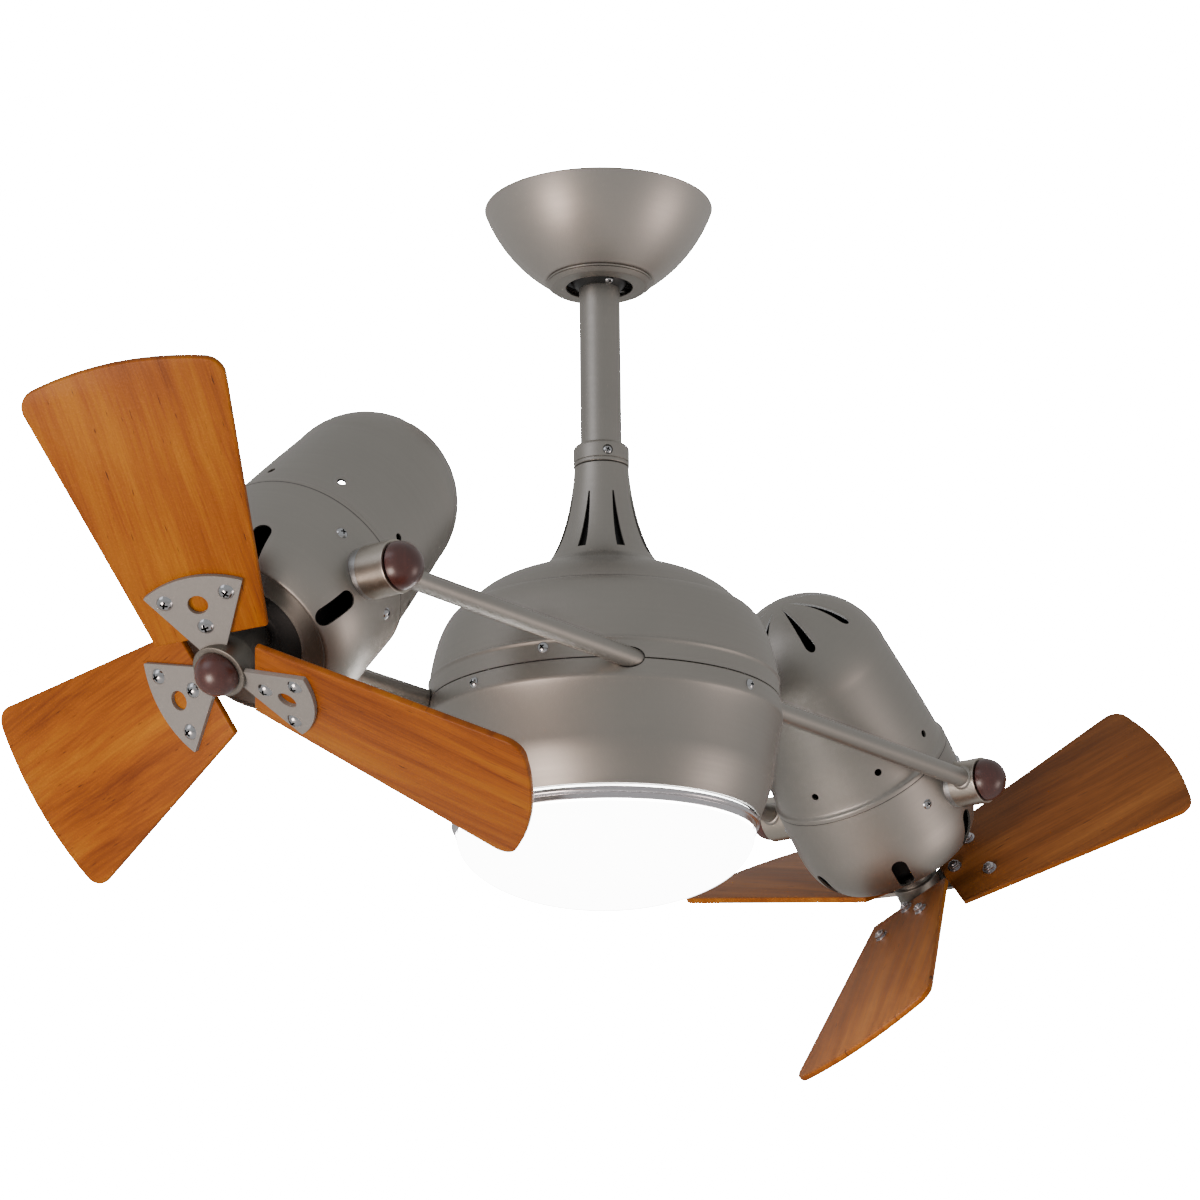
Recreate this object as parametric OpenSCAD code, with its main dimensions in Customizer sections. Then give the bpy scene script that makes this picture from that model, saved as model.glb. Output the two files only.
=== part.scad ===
// Twin head ceiling fan, in millimetres.
// The origin is on the ceiling, where the fan's upright axis meets it, and the fan hangs down -Z.
// The two heads stand to the left (-X) and right (+X) of the middle housing.

/* [Canopy] */
// Radius of the canopy's rim at the ceiling
canopy_r = 75; // [68:1:90]
// Depth of the canopy below the ceiling
canopy_h = 50.3; // [48:0.1:60]
// Radius where the bowl meets its flat bottom
canopy_foot_r = 36.5; // [36:0.5:44]
// Radius of the bowl's round side, seen from the side
canopy_bulge = 103; // [80:1:160]
// Thickness of the spun sheet of canopy, neck and housings
sheet = 1.5; // [1:0.1:2]
// Thickness of the gasket between the rim and the ceiling
gasket_t = 0.8; // [0.5:0.1:1.5]
// Radius of the trim ring under the canopy
trim_r = 34.5; // [33:0.5:37]
// Height of the trim ring
trim_h = 4.7; // [4.5:0.1:10]
// Radius of the opening that the rod hangs through
opening_r = 21.9; // [21.8:0.1:24]

/* [Hanger] */
// Radius of the hanger ball
ball_r = 22; // [20:0.5:22.5]
// Height of the ball's centre over the canopy's flat bottom
ball_rise = 11.3; // [10:0.1:12]
// Length of the bracket's ceiling plate
plate_l = 110; // [96:1:124]
// Width of the bracket's ceiling plate
plate_w = 36; // [28:1:44]
// Thickness of the bracket's steel
plate_t = 2.5; // [2:0.1:3.5]
// Distance between the two mounting slots
slot_spacing = 80; // [70:1:90]
// End to end length of a mounting slot
slot_l = 24; // [10:1:26]
// Width of a mounting slot
slot_w = 5; // [4:0.5:6]
// Radius of the screws that hold the canopy
canopy_screw_r = 2; // [1.5:0.1:2.5]

/* [Downrod] */
// Radius of the downrod
rod_r = 13.35; // [11:0.05:14]
// Wall of the downrod's tube
rod_wall = 2.2; // [1.5:0.1:3]
// Drop from the ceiling to the top of the rod coupling
coupling_drop = 165; // [120:1:400]
// Radius of the rod coupling
coupling_r = 18.1; // [17:0.1:20]
// Height of the rod coupling
coupling_h = 14.5; // [12:0.5:20]
// Radius of the coupling's set screws
set_screw_r = 3.2; // [2:0.1:3.6]
// Direction of the first set screw, seen from above
set_screw_angle = -129.8; // [-180:0.1:180]

/* [Spindle] */
// Radius of the hollow spindle that the carrier turns on
spindle_r = 8; // [7:0.1:9]
// Radius of the wire way through the spindle
wire_r = 4.5; // [3:0.1:5]
// Outer radius of a spindle bearing
bearing_r = 14; // [13:0.1:16]
// Height of a spindle bearing
bearing_h = 8; // [6:0.5:10]
// Running clearance between a shaft and its bore
run_gap = 0.05; // [0.02:0.01:0.1]

/* [Neck and housing] */
// Direction of the first neck slot, seen from above
neck_slot_angle = 12.8; // [0:0.1:45]
// Gap between the coupling and the turning neck
neck_gap = 0.6; // [0.4:0.1:2]
// Radius of the neck at its top
neck_r = 17.6; // [16:0.1:19]
// Height of the neck cap, from its top down to its seam
neck_h = 99.3; // [95:0.1:115]
// Radius of the neck cap at its seam
cap_r = 91; // [88:0.5:96]
// Number of tapered slots round the neck
neck_slots = 8; // [6:1:10]
// Length of a neck slot
neck_slot_l = 40.8; // [30:0.1:42]
// Width of a neck slot at its wide, lower end
neck_slot_w = 5.6; // [3:0.1:7]
// Radius of the housing at its widest seam
seam_r = 112.5; // [108:0.5:116]
// Drop from the ceiling to the housing seam, where the arms and the tilt axes lie
pivot_drop = 338.8; // [320:0.2:620]
// Depth of the lower housing below the seam
lower_h = 77.4; // [74:0.2:86]
// Radius at the foot of the lower housing
lower_r = 97.6; // [95.5:0.1:101]

/* [Light] */
// Radius of the glass bowl at its rim
glass_r = 94.4; // [92:0.1:95]
// Depth of the glass bowl's round part
glass_h = 43; // [38:0.5:60]
// Wall of the glass
glass_wall = 2.8; // [2:0.1:4]
// Height of the rolled glass ring
ring_h = 7.8; // [7:0.1:9]
// Radius of the lamp's base
lamp_base_r = 8; // [6:0.5:10]

/* [Arms] */
// Distance of each head's tilt axis from the fan's upright axis
arm_reach = 314.5; // [305:0.5:420]
// Radius of an arm tube
arm_r = 6.35; // [5:0.05:7]
// Wall of an arm tube
arm_wall = 1.6; // [1:0.1:2.5]
// Distance of an arm from the inner face of its boss
arm_inset = 10.95; // [9:0.05:12]
// Radius of a pivot boss
boss_r = 15.8; // [14:0.1:18]
// Length of a pivot boss
boss_l = 19.95; // [18:0.05:24]
// Gap between a head's shell and a boss
boss_gap = 3.65; // [2.5:0.05:5]
// Radius of the hollow pivot studs
stud_r = 6; // [5:0.1:6.5]
// Radius of the wood caps on the bosses
wood_cap_r = 14.5; // [12.5:0.1:15.5]

/* [Heads] */
// Tilt of the left head below the horizontal, at rest
left_tilt = 45.8; // [0:0.1:80]
// Tilt of the right head below the horizontal, at rest
right_tilt = 45; // [0:0.1:80]
// Distance from the tilt axis down to a motor's shaft
axis_drop = 2.2; // [0:0.1:5]
// Radius of a head's front shell
shell_r = 64; // [61:0.5:67]
// Sheet thickness of the head shells
shell_t = 1.5; // [1:0.1:2]
// Distance of the shells' seam behind the tilt axis
seam_back = 25; // [20:1:30]
// Length of the rear shell's lip inside the front shell
lip_l = 36; // [33:1:36]
// Distance of the front shell's rim before the tilt axis
rim_front = 44.6; // [43:0.1:50]
// Radius of the front shell's rim
rim_r = 50.5; // [48:0.5:54]
// Radius of the front opening
mouth_r = 34; // [30:0.5:38]
// Radius of the rear shell's dome
dome_r = 55.3; // [52:0.1:58]
// Distance of the dome's centre behind the tilt axis
dome_back = 107; // [95:1:120]
// Number of slots round the front shell
side_slots = 6; // [4:1:8]
// Length of a slot in the front shell
side_slot_l = 28; // [20:1:30]
// Width of a slot in the front shell
side_slot_w = 11; // [7:0.5:13]
// Number of teardrop slots round the dome's pole
dome_slots = 8; // [6:1:10]
// Number of round vent holes behind the seam
vents = 8; // [4:1:12]
// Radius of the round vent holes
vent_r = 2.5; // [1.5:0.1:4]
// Radius of the motor's stator
stator_r = 40; // [34:0.5:50]
// Radius of the motor's shaft
shaft_r = 5; // [4:0.1:6]

/* [Rotors] */
// Distance of the blade irons' faces before the tilt axis
iron_front = 78; // [74:0.1:95]
// Pitch of the blades
pitch = 18.5; // [10:0.5:24]
// Turn of the left rotor at rest
left_turn = -11.5; // [-60:0.05:60]
// Turn of the right rotor at rest
right_turn = 48.6; // [-60:0.05:60]
// Radius of a blade iron's outer edge
iron_r = 61; // [56:0.5:70]
// Half of the angle that a blade iron spans
iron_half_angle = 29.5; // [24:0.5:32]
// Thickness of a blade iron
iron_t = 3; // [2:0.1:4]
// Radius of the round hole in a blade iron
iron_hole_r = 6; // [4:0.1:7]
// Radius of a blade screw's head
head_r = 4.85; // [4:0.05:5.2]
// Radius of the rotor, from its shaft to a blade's tip
blade_r = 198; // [170:1:200]
// Distance of a blade's root from the shaft
root_u = 20; // [18.5:0.5:24]
// Half of a blade's width at its root
root_v = 34.3; // [33:0.1:36]
// Growth of a blade's half width with its length
blade_flare = 0.165; // [0.05:0.005:0.18]
// Radius of a blade's tip corners
tip_corner = 12; // [6:0.5:20]
// Thickness of a blade
blade_t = 4.5; // [3:0.1:7]
// Radius of the hub's disc
hub_r = 16.5; // [15:0.1:18]
// Radius of the wood button on the hub
button_r = 13.4; // [12:0.1:14.5]

/* [Hidden] */
$fn = 72;

// Clearance of a seat where nothing moves
seat = 0.1;
// Gap between two faces that turn past each other
face_gap = 0.3;
// Steps of a long curve and of a short one
fine = 16;
coarse = 6;
// Overlap that makes a cut or a joint clean
eps = 0.5;

pewter = [0.56, 0.54, 0.51];
steel = [0.72, 0.72, 0.72];
dark = [0.16, 0.16, 0.17];
orange_wood = [0.70, 0.42, 0.17];
red_wood = [0.35, 0.19, 0.18];

// Heights, from the ceiling down
ball_z = ball_rise - canopy_h;
coupling_z = -coupling_drop;
neck_z = coupling_z - coupling_h - neck_gap;
cap_z = neck_z - neck_h;
seam_z = -pivot_drop;
foot_z = seam_z - lower_h;
frame_top = seam_z + 34;
frame_foot = seam_z - 34;

// ---------- Profiles: lists of [radius, height], read from the top down ----------

function backwards(p) = [for (i = [len(p) - 1 : -1 : 0]) p[i]];

// Arc round the centre c from angle a0 to angle a1
function arc(c, r, a0, a1, n) =
    [for (i = [0 : n]) let (a = a0 + (a1 - a0) * i / n) c + r * [cos(a), sin(a)]];

// Arc of radius r from p down to q that bulges away from the axis
function bulge(p, q, r, n) =
    let (
        h = norm(q - p) / 2,
        d = (q - p) / (2 * h),
        c = (p + q) / 2 + sqrt(r * r - h * h) * [d[1], -d[0]]
    )
    arc(c, r, atan2(p[1] - c[1], p[0] - c[0]), atan2(q[1] - c[1], q[0] - c[0]), n);

// Smooth curve from p0 to p3, drawn towards p1 and p2
function curve(p0, p1, p2, p3, n) =
    [for (i = [0 : n]) let (t = i / n, u = 1 - t)
        u * u * u * p0 + 3 * u * u * t * p1 + 3 * u * t * t * p2 + t * t * t * p3];

// The same profile, moved by t towards the inside of the sheet. Its ends are kept level, or
// upright where the profile starts out flat.
function inside(p, t) =
    [for (i = [0 : len(p) - 1])
        let (
            a = p[max(0, i - 1)],
            b = p[min(len(p) - 1, i + 1)],
            d = (b - a) / norm(b - a),
            q = p[i] + t * [d[1], -d[0]]
        )
        i == 0 && d[0] > -d[1] ? [p[i][0], q[1]] :
        i == 0 || i == len(p) - 1 ? [p[i][0] + t * d[1], p[i][1]] : q];

// Sheet metal spun to the profile p, of thickness t
module spun(p, t) {
    rotate_extrude()
        polygon(concat(p, backwards(inside(p, t))));
}

// Ring between two radii, standing on z
module ring(r_out, r_in, z, h) {
    translate([0, 0, z])
        difference() {
            cylinder(r = r_out, h = h);
            translate([0, 0, -eps])
                cylinder(r = r_in, h = h + 2 * eps);
        }
}

// Domed screw head on the plane z = 0
module dome_head(r, h) {
    ball = (r * r + h * h) / (2 * h);
    intersection() {
        translate([0, 0, h - ball])
            sphere(r = ball);
        cylinder(r = r, h = h);
    }
}

// Domed screw with its shank down -Z
module pan_screw(r, h, shank_r, shank_l) {
    dome_head(r, h);
    translate([0, 0, -shank_l])
        cylinder(r = shank_r, h = shank_l + h / 4, $fn = 36);
}

// Places its child on a circle, facing outwards at an angle and a height
module facing(angle, r, z) {
    rotate([0, 0, angle])
        translate([r, 0, z])
            rotate([0, 90, 0])
                children();
}

// ---------- Canopy and bracket ----------

canopy_foot = -canopy_h;
canopy_side = bulge([canopy_r, -gasket_t], [canopy_foot_r, canopy_foot], canopy_bulge, fine);
// The canopy's hole hides under the trim ring
canopy_hole_r = opening_r + 1.6;
socket_foot = canopy_foot + sheet + face_gap;
socket_h = 10.5;
socket_r = 31.5;
leg_x = socket_r + plate_t;
canopy_screw_x = 27.2;
trim_sheet = 1.2;
wire_hole_r = 11;

module hanger_bracket() {
    color(steel)
        difference() {
            union() {
                translate([-plate_l / 2, -plate_w / 2, -plate_t])
                    cube([plate_l, plate_w, plate_t]);
                for (side = [-1, 1])
                    translate([side > 0 ? socket_r - 2 : -leg_x, -plate_w / 3, socket_foot])
                        cube([plate_t + 2, plate_w * 2 / 3, -socket_foot - plate_t + eps]);
                translate([0, 0, socket_foot])
                    cylinder(r = socket_r, h = socket_h);
            }
            translate([0, 0, ball_z])
                sphere(r = ball_r + run_gap);
            translate([0, 0, ball_z])
                cylinder(r = ball_r + run_gap, h = socket_foot + socket_h - ball_z + eps);
            translate([0, 0, -plate_t - eps])
                cylinder(r = wire_hole_r, h = plate_t + 2 * eps);
            // The ball goes in through the open side of the socket
            translate([-rod_r - 1, 0, socket_foot - eps])
                cube([2 * rod_r + 2, socket_r + eps, socket_h + 2 * eps]);
            for (side = [-1, 1]) {
                mounting_slot(side * slot_spacing / 2);
                translate([side * canopy_screw_x, 0, socket_foot - eps])
                    cylinder(r = canopy_screw_r + seat, h = socket_h - 2, $fn = 36);
            }
        }
}

module mounting_slot(x) {
    translate([x, 0, -plate_t - eps])
        linear_extrude(plate_t + 2 * eps)
            union() {
                square([slot_l - slot_w, slot_w], center = true);
                for (end = [-1, 1])
                    translate([end * (slot_l - slot_w) / 2, 0])
                        circle(r = slot_w / 2);
            }
}

module canopy() {
    color(pewter)
        difference() {
            union() {
                spun(canopy_side, sheet);
                ring(canopy_foot_r, canopy_hole_r, canopy_foot, sheet);
            }
            for (side = [-1, 1])
                translate([side * canopy_screw_x, 0, canopy_foot - eps])
                    cylinder(r = canopy_screw_r + seat, h = sheet + 2 * eps, $fn = 36);
        }
}

module canopy_gasket() {
    color(dark)
        ring(canopy_r - 0.4, canopy_r - 5, -gasket_t, gasket_t);
}

// Stepped side: a thin bead, a groove, then a bevel down to the flat underside
module canopy_trim_ring() {
    z = canopy_foot;
    bead = 0.8;
    flat_r = trim_r - 3.4;
    outer = concat(
        [[trim_r - 0.6, z]],
        arc([trim_r - bead, z - bead], bead, 60, -60, coarse),
        [
            [trim_r - 1.1, z - 2 * bead], [trim_r - 0.3, z - 2 * bead - 0.7],
            [flat_r, z - trim_h], [opening_r, z - trim_h]
        ]
    );
    hollow = [
        [opening_r, z - trim_h + trim_sheet], [flat_r, z - trim_h + trim_sheet],
        [trim_r - trim_sheet - 1, z - 2 * bead - 0.4], [trim_r - trim_sheet - 1, z]
    ];
    color(pewter)
        rotate_extrude()
            polygon(concat(outer, hollow));
}

module canopy_screws() {
    color(steel)
        for (side = [-1, 1])
            translate([side * canopy_screw_x, 0, canopy_foot])
                rotate([180, 0, 0])
                    pan_screw(3.6, 2, canopy_screw_r, sheet + 6);
}

// ---------- Hanger ball, downrod and spindle ----------

rod_top = ball_z + 18;
ball_top = 12;
pin_r = 3;
pin_z = ball_z + 6;
rod_seat = 9;
rod_foot = coupling_z - rod_seat;
spindle_top = coupling_z - rod_seat - 0.5;
nut_h = 8;
nut_r = 13;
spindle_foot = frame_foot - face_gap - nut_h;
ring_top = frame_top + 22;
slip_ring_r = 13;
ground_angle = -118.2;
ground_drop = 45;
ground_shank = 1.2;

module hanger_ball() {
    color(dark)
        difference() {
            intersection() {
                translate([0, 0, ball_z])
                    sphere(r = ball_r);
                translate([0, 0, ball_z - ball_r])
                    cylinder(r = ball_r + 1, h = ball_r + ball_top);
            }
            translate([0, 0, ball_z - ball_r - eps])
                cylinder(r = rod_r + seat, h = 3 * ball_r);
            translate([0, -ball_r, pin_z])
                rotate([-90, 0, 0])
                    cylinder(r = pin_r + seat, h = 2 * ball_r, $fn = 36);
            ground_place()
                translate([0, 0, -ground_shank])
                    cylinder(r = 1.5 + seat, h = ground_shank + 3, $fn = 36);
        }
}

module ball_pin() {
    color(steel)
        translate([0, 1 - ball_r, pin_z])
            rotate([-90, 0, 0])
                cylinder(r = pin_r, h = 2 * ball_r - 2, $fn = 36);
}

// On the ball's underside, with +Z out of the ball
module ground_place() {
    translate([0, 0, ball_z])
        rotate([0, 0, ground_angle])
            rotate([0, 90 + ground_drop, 0])
                translate([0, 0, ball_r])
                    children();
}

module ground_screw() {
    color(steel)
        ground_place()
            pan_screw(2.8, 1.6, 1.5, ground_shank);
}

module downrod() {
    color(pewter)
        difference() {
            ring(rod_r, rod_r - rod_wall, rod_foot, rod_top - rod_foot);
            translate([0, -ball_r, pin_z])
                rotate([-90, 0, 0])
                    cylinder(r = pin_r + seat, h = 2 * ball_r, $fn = 36);
        }
}

// Turned collar with a soft shoulder and a fine groove above its foot
module rod_coupling() {
    shoulder_r = 3;
    foot_r = 0.8;
    foot = coupling_z - coupling_h;
    groove_z = foot + 2.5;
    color(pewter)
        difference() {
            rotate_extrude()
                polygon(concat(
                    [[rod_r + seat, coupling_z]],
                    arc([coupling_r - shoulder_r, coupling_z - shoulder_r], shoulder_r, 90, 0, coarse),
                    [
                        [coupling_r, groove_z + 0.5], [coupling_r - 0.5, groove_z + 0.3],
                        [coupling_r - 0.5, groove_z], [coupling_r, groove_z - 0.2]
                    ],
                    arc([coupling_r - foot_r, foot + foot_r], foot_r, 0, -90, 3),
                    [
                        [spindle_r + seat, foot], [spindle_r + seat, rod_foot],
                        [rod_r + seat, rod_foot]
                    ]
                ));
            for (turn = [0, 180])
                facing(set_screw_angle + turn, rod_r + seat - eps, coupling_z - coupling_h / 2)
                    cylinder(r = set_screw_r + seat, h = coupling_r, $fn = 36);
        }
}

module coupling_screws() {
    color(steel)
        for (turn = [0, 180])
            facing(set_screw_angle + turn, rod_r, coupling_z - coupling_h / 2)
                intersection() {
                    cylinder(r = set_screw_r, h = coupling_r - rod_r + 1.2, $fn = 36);
                    translate([0, 0, -coupling_r])
                        sphere(r = 2 * coupling_r - rod_r + 1.2);
                }
}

module spindle() {
    color(steel)
        difference() {
            union() {
                translate([0, 0, spindle_foot])
                    cylinder(r = spindle_r, h = spindle_top - spindle_foot);
                translate([0, 0, spindle_foot])
                    cylinder(r = nut_r, h = nut_h, $fn = 6);
            }
            translate([0, 0, spindle_foot - eps])
                cylinder(r = wire_r, h = spindle_top - spindle_foot + 2 * eps);
        }
}

module slip_ring() {
    color([0.75, 0.55, 0.25]) {
        ring(slip_ring_r - 1.5, spindle_r + seat, ring_top - 18, 18);
        for (i = [0 : 2])
            ring(slip_ring_r, spindle_r + seat, ring_top - 4 - 6 * i, 3);
    }
}

// ---------- Neck cap and housings ----------

// The crisp crease where the neck flares into the cap
crease = [37.6, cap_z + 32.1];
cap_foot = [cap_r, cap_z];
neck_side = concat(
    curve([neck_r, neck_z], [neck_r + 1.6, neck_z - 23], crease + [-12.2, 13.2], crease, fine),
    curve(crease + [0.6, -0.4], crease + [17.2, -11.5], cap_foot + [-17.4, 22.9], cap_foot, fine)
);
neck_slot_top = neck_z - 20.4;
neck_slot_tip = 1;
spigot_h = 8;

module neck_slot() {
    rotate([90, 0, 90])
        linear_extrude(cap_r)
            polygon([
                [-neck_slot_w / 2, neck_slot_top - neck_slot_l],
                [neck_slot_w / 2, neck_slot_top - neck_slot_l],
                [neck_slot_tip / 2, neck_slot_top],
                [-neck_slot_tip / 2, neck_slot_top]
            ]);
}

module neck_cap() {
    color(pewter)
        difference() {
            union() {
                spun(neck_side, sheet);
                // The spigot that drops into the upper housing
                ring(cap_r - sheet - seat, cap_r - 2 * sheet - seat, cap_z - spigot_h,
                    spigot_h + sheet);
            }
            for (i = [0 : neck_slots - 1])
                rotate([0, 0, neck_slot_angle + 360 / neck_slots * i])
                    neck_slot();
        }
}

seam_point = [seam_r, seam_z];
foot_point = [lower_r, foot_z + sheet];
// How far the housings step in from the seam to the neck cap and to the foot
upper_step = seam_r - cap_r;
lower_step = seam_r - lower_r;
// The ridge stands above the seam, and the fold under the band below it
ridge_z = seam_z + 13.8;
fold_z = seam_z - 10.2;
band_r = seam_r - 0.7;
upper_dome = curve(
    [cap_r, cap_z - 0.3], [cap_r + 0.47 * upper_step, cap_z - 0.5],
    [cap_r + 0.84 * upper_step, cap_z - 23.6], [seam_r - 0.9, ridge_z + 0.4], fine);
upper_band = [[band_r + 0.2, seam_z + 4], seam_point];
ridge = [[seam_r - 0.1, ridge_z - 0.5], [seam_r - 0.2, ridge_z - 1.4], [band_r, ridge_z - 2.2]];
lower_side = concat(
    [seam_point + [0, -0.3], [seam_r + 0.6, seam_z - 5], [seam_r + 1.1, fold_z]],
    curve([seam_r + 0.9, fold_z - 2.2], [seam_r - 0.03 * lower_step, fold_z - 5.5],
        [seam_r - 0.2 * lower_step, fold_z - 17], [seam_r - 0.39 * lower_step, fold_z - 39.8], fine),
    curve([seam_r - 0.46 * lower_step, fold_z - 44], [seam_r - 0.66 * lower_step, fold_z - 54],
        [seam_r - 0.88 * lower_step, foot_z + 7], foot_point, coarse)
);
screw_spots_upper = [17, 197];
screw_spots_lower = [-14, 90, 171, 270];
screw_head_r = 3.6;
screw_head_h = 2;
shank_r = 1.6;
upper_screw_z = seam_z + 8.4;
lower_screw_z = seam_z - 6.2;
// Where the screw heads lie on the two shells
upper_head_r = band_r + 0.25;
lower_head_r = seam_r + 1.1;
joint_lip_top = seam_z + 5;
joint_lip_h = 16;
arm_y = shell_r + boss_gap + arm_inset;

module arm_holes() {
    for (y = [-arm_y, arm_y])
        translate([-seam_r, y, seam_z])
            rotate([0, 90, 0])
                cylinder(r = arm_r + 0.6, h = 2 * seam_r);
}

module housing_screw_holes(spots, z) {
    for (a = spots)
        facing(a, seam_r - 12, z)
            cylinder(r = shank_r + seat, h = 20, $fn = 36);
}

module upper_housing() {
    lip_out = seam_r - sheet - seat;
    color(pewter)
        difference() {
            union() {
                rotate_extrude()
                    polygon(concat(upper_dome, ridge, upper_band,
                        backwards(inside(concat(upper_dome, upper_band), sheet))));
                // The lip that the lower housing is screwed to
                rotate_extrude()
                    polygon([
                        [lip_out - sheet, joint_lip_top], [band_r - sheet / 2, joint_lip_top],
                        [seam_r - sheet / 2, seam_z], [lip_out, seam_z],
                        [lip_out, joint_lip_top - joint_lip_h],
                        [lip_out - sheet, joint_lip_top - joint_lip_h]
                    ]);
            }
            arm_holes();
            housing_screw_holes(screw_spots_upper, upper_screw_z);
            housing_screw_holes(screw_spots_lower, lower_screw_z);
        }
}

module lower_housing() {
    color(pewter)
        difference() {
            union() {
                spun(lower_side, sheet);
                // The flange that carries the lamp pan
                ring(lower_r, lower_r - 5, foot_z, sheet);
            }
            arm_holes();
            housing_screw_holes(screw_spots_lower, lower_screw_z);
        }
}

module housing_screws() {
    color(steel) {
        for (a = screw_spots_upper)
            facing(a, upper_head_r, upper_screw_z)
                pan_screw(screw_head_r, screw_head_h, shank_r, 9);
        for (a = screw_spots_lower)
            facing(a, lower_head_r, lower_screw_z)
                pan_screw(screw_head_r, screw_head_h, shank_r, 5);
    }
}

// ---------- Centre frame and its bearings ----------

frame_hub_r = bearing_r + 6;
rail_w = 22;
// The rails end just inside the joint lip
rail_half = sqrt(pow(seam_r - 2 * sheet - 2.8, 2) - pow(arm_y + rail_w / 2, 2));
bar_w = 24;
bar_h = 16;
strut_r = 3.2;
strut_end = band_r - sheet - 1;

module centre_frame() {
    color([0.6, 0.6, 0.6])
        difference() {
            union() {
                translate([0, 0, frame_foot])
                    cylinder(r = frame_hub_r, h = frame_top - frame_foot);
                translate([-bar_w / 2, -arm_y, seam_z - bar_h / 2])
                    cube([bar_w, 2 * arm_y, bar_h]);
                for (y = [-arm_y, arm_y])
                    translate([-rail_half, y - rail_w / 2, seam_z - rail_w / 2])
                        cube([2 * rail_half, rail_w, rail_w]);
                // The strut that the upper housing is screwed to
                rotate([0, 0, screw_spots_upper[0]])
                    translate([0, 0, upper_screw_z])
                        rotate([0, 90, 0])
                            cylinder(r = strut_r, h = 2 * strut_end, center = true);
            }
            translate([0, 0, frame_foot - eps])
                cylinder(r = spindle_r + 1, h = frame_top - frame_foot + 2 * eps);
            translate([0, 0, frame_top - bearing_h])
                cylinder(r = bearing_r + seat, h = bearing_h + eps);
            translate([0, 0, frame_foot - eps])
                cylinder(r = bearing_r + seat, h = bearing_h + eps);
            for (y = [-arm_y, arm_y])
                translate([-seam_r, y, seam_z])
                    rotate([0, 90, 0])
                        cylinder(r = arm_r + seat, h = 2 * seam_r);
            for (a = screw_spots_upper)
                facing(a, seam_r - 12, upper_screw_z)
                    cylinder(r = shank_r + seat, h = 20, $fn = 36);
        }
}

module bearing(z) {
    race = 2.2;
    color(steel) {
        ring(bearing_r, bearing_r - race, z, bearing_h);
        ring(spindle_r + run_gap + race, spindle_r + run_gap, z, bearing_h);
        // The shields that close the races on both faces
        ring(bearing_r - race, spindle_r + run_gap + race, z + 0.5, bearing_h - 1);
    }
}

module upper_bearing() {
    bearing(frame_top - bearing_h);
}

module lower_bearing() {
    bearing(frame_foot);
}

module brush_block() {
    x = slip_ring_r + 1.3;
    color(dark)
        difference() {
            union() {
                translate([x, -7, frame_top])
                    cube([frame_hub_r - x, 14, ring_top - frame_top - 1]);
                for (i = [0 : 2])
                    translate([slip_ring_r - 0.5, -2, ring_top - 3.5 - 6 * i])
                        cube([4, 4, 2]);
            }
            translate([0, 0, frame_top - eps])
                cylinder(r = slip_ring_r + face_gap, h = ring_top - frame_top + 1);
        }
}

// ---------- Light ----------

pan_z = foot_z + sheet;
pan_t = 1.8;
ring_foot = foot_z - ring_h;
neck_glass_r = glass_r - 3.8;
flange_r = glass_r - 1.2;
flange_z = foot_z - 1;
holder_h = 16;
holder_r = 13;

module lamp_pan() {
    color(steel)
        difference() {
            translate([0, 0, pan_z])
                cylinder(r = lower_r - 2 * sheet, h = pan_t);
            translate([0, 0, pan_z - eps])
                cylinder(r = wire_r, h = pan_t + 2 * eps);
        }
}

module lampholder() {
    color([0.9, 0.9, 0.88])
        difference() {
            translate([0, 0, pan_z - holder_h])
                cylinder(r = holder_r, h = holder_h);
            translate([0, 0, pan_z - holder_h - eps])
                cylinder(r = lamp_base_r + seat, h = holder_h - 3);
        }
}

module lamp() {
    top = pan_z - holder_h + 10;
    color([0.95, 0.94, 0.88])
        rotate_extrude()
            polygon(concat(
                [[0, top], [lamp_base_r, top], [lamp_base_r, top - 11]],
                arc([0, pan_z - holder_h - 14], 16, 48, -90, fine),
                [[0, top]]
            ));
}

// Bright rolled lip on the housing's foot, with a plain band inside it down to the glass
module glass_ring() {
    roll_r = 1.9;
    seat_r = glass_r + 0.3;
    roll_at = [lower_r - roll_r, foot_z - roll_r - 0.1];
    color(steel)
        union() {
            rotate_extrude()
                polygon(concat(
                    [[lower_r - roll_r - 0.6, foot_z]],
                    arc(roll_at, roll_r, 75, -75, coarse),
                    [
                        [seat_r + 0.9, foot_z - 2 * roll_r - 0.4], [seat_r + 0.8, ring_foot + 0.4],
                        [seat_r + 0.3, ring_foot], [seat_r, ring_foot + 0.6], [seat_r, foot_z]
                    ]
                ));
            // Three tabs that carry the glass by its flange
            for (i = [0 : 2])
                rotate([0, 0, 60 + 120 * i])
                    translate([neck_glass_r + 0.4, -8, flange_z - 3.9])
                        cube([seat_r - neck_glass_r + 0.4, 16, 1.6]);
        }
}

module glass_bowl() {
    rim_z = ring_foot - 1;
    round_side = [for (i = [0 : fine]) let (a = 90 * i / fine)
        [glass_r * cos(a), rim_z - glass_h * sin(a)]];
    hollow_side = [for (i = [0 : fine]) let (a = 90 * i / fine)
        [(glass_r - glass_wall) * cos(a), rim_z - (glass_h - glass_wall) * sin(a)]];
    hollow_r = neck_glass_r - 2.4;
    color([0.97, 0.97, 0.95])
        rotate_extrude()
            polygon(concat(
                [
                    [hollow_r, flange_z], [flange_r, flange_z], [flange_r, flange_z - 2],
                    [neck_glass_r, flange_z - 2], [neck_glass_r, rim_z + 1.2]
                ],
                round_side,
                backwards([for (p = hollow_side) if (p[0] < hollow_r) p]),
                [[hollow_r, rim_z - 3]]
            ));
}

// ---------- Arms, bosses and wood caps ----------

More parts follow.
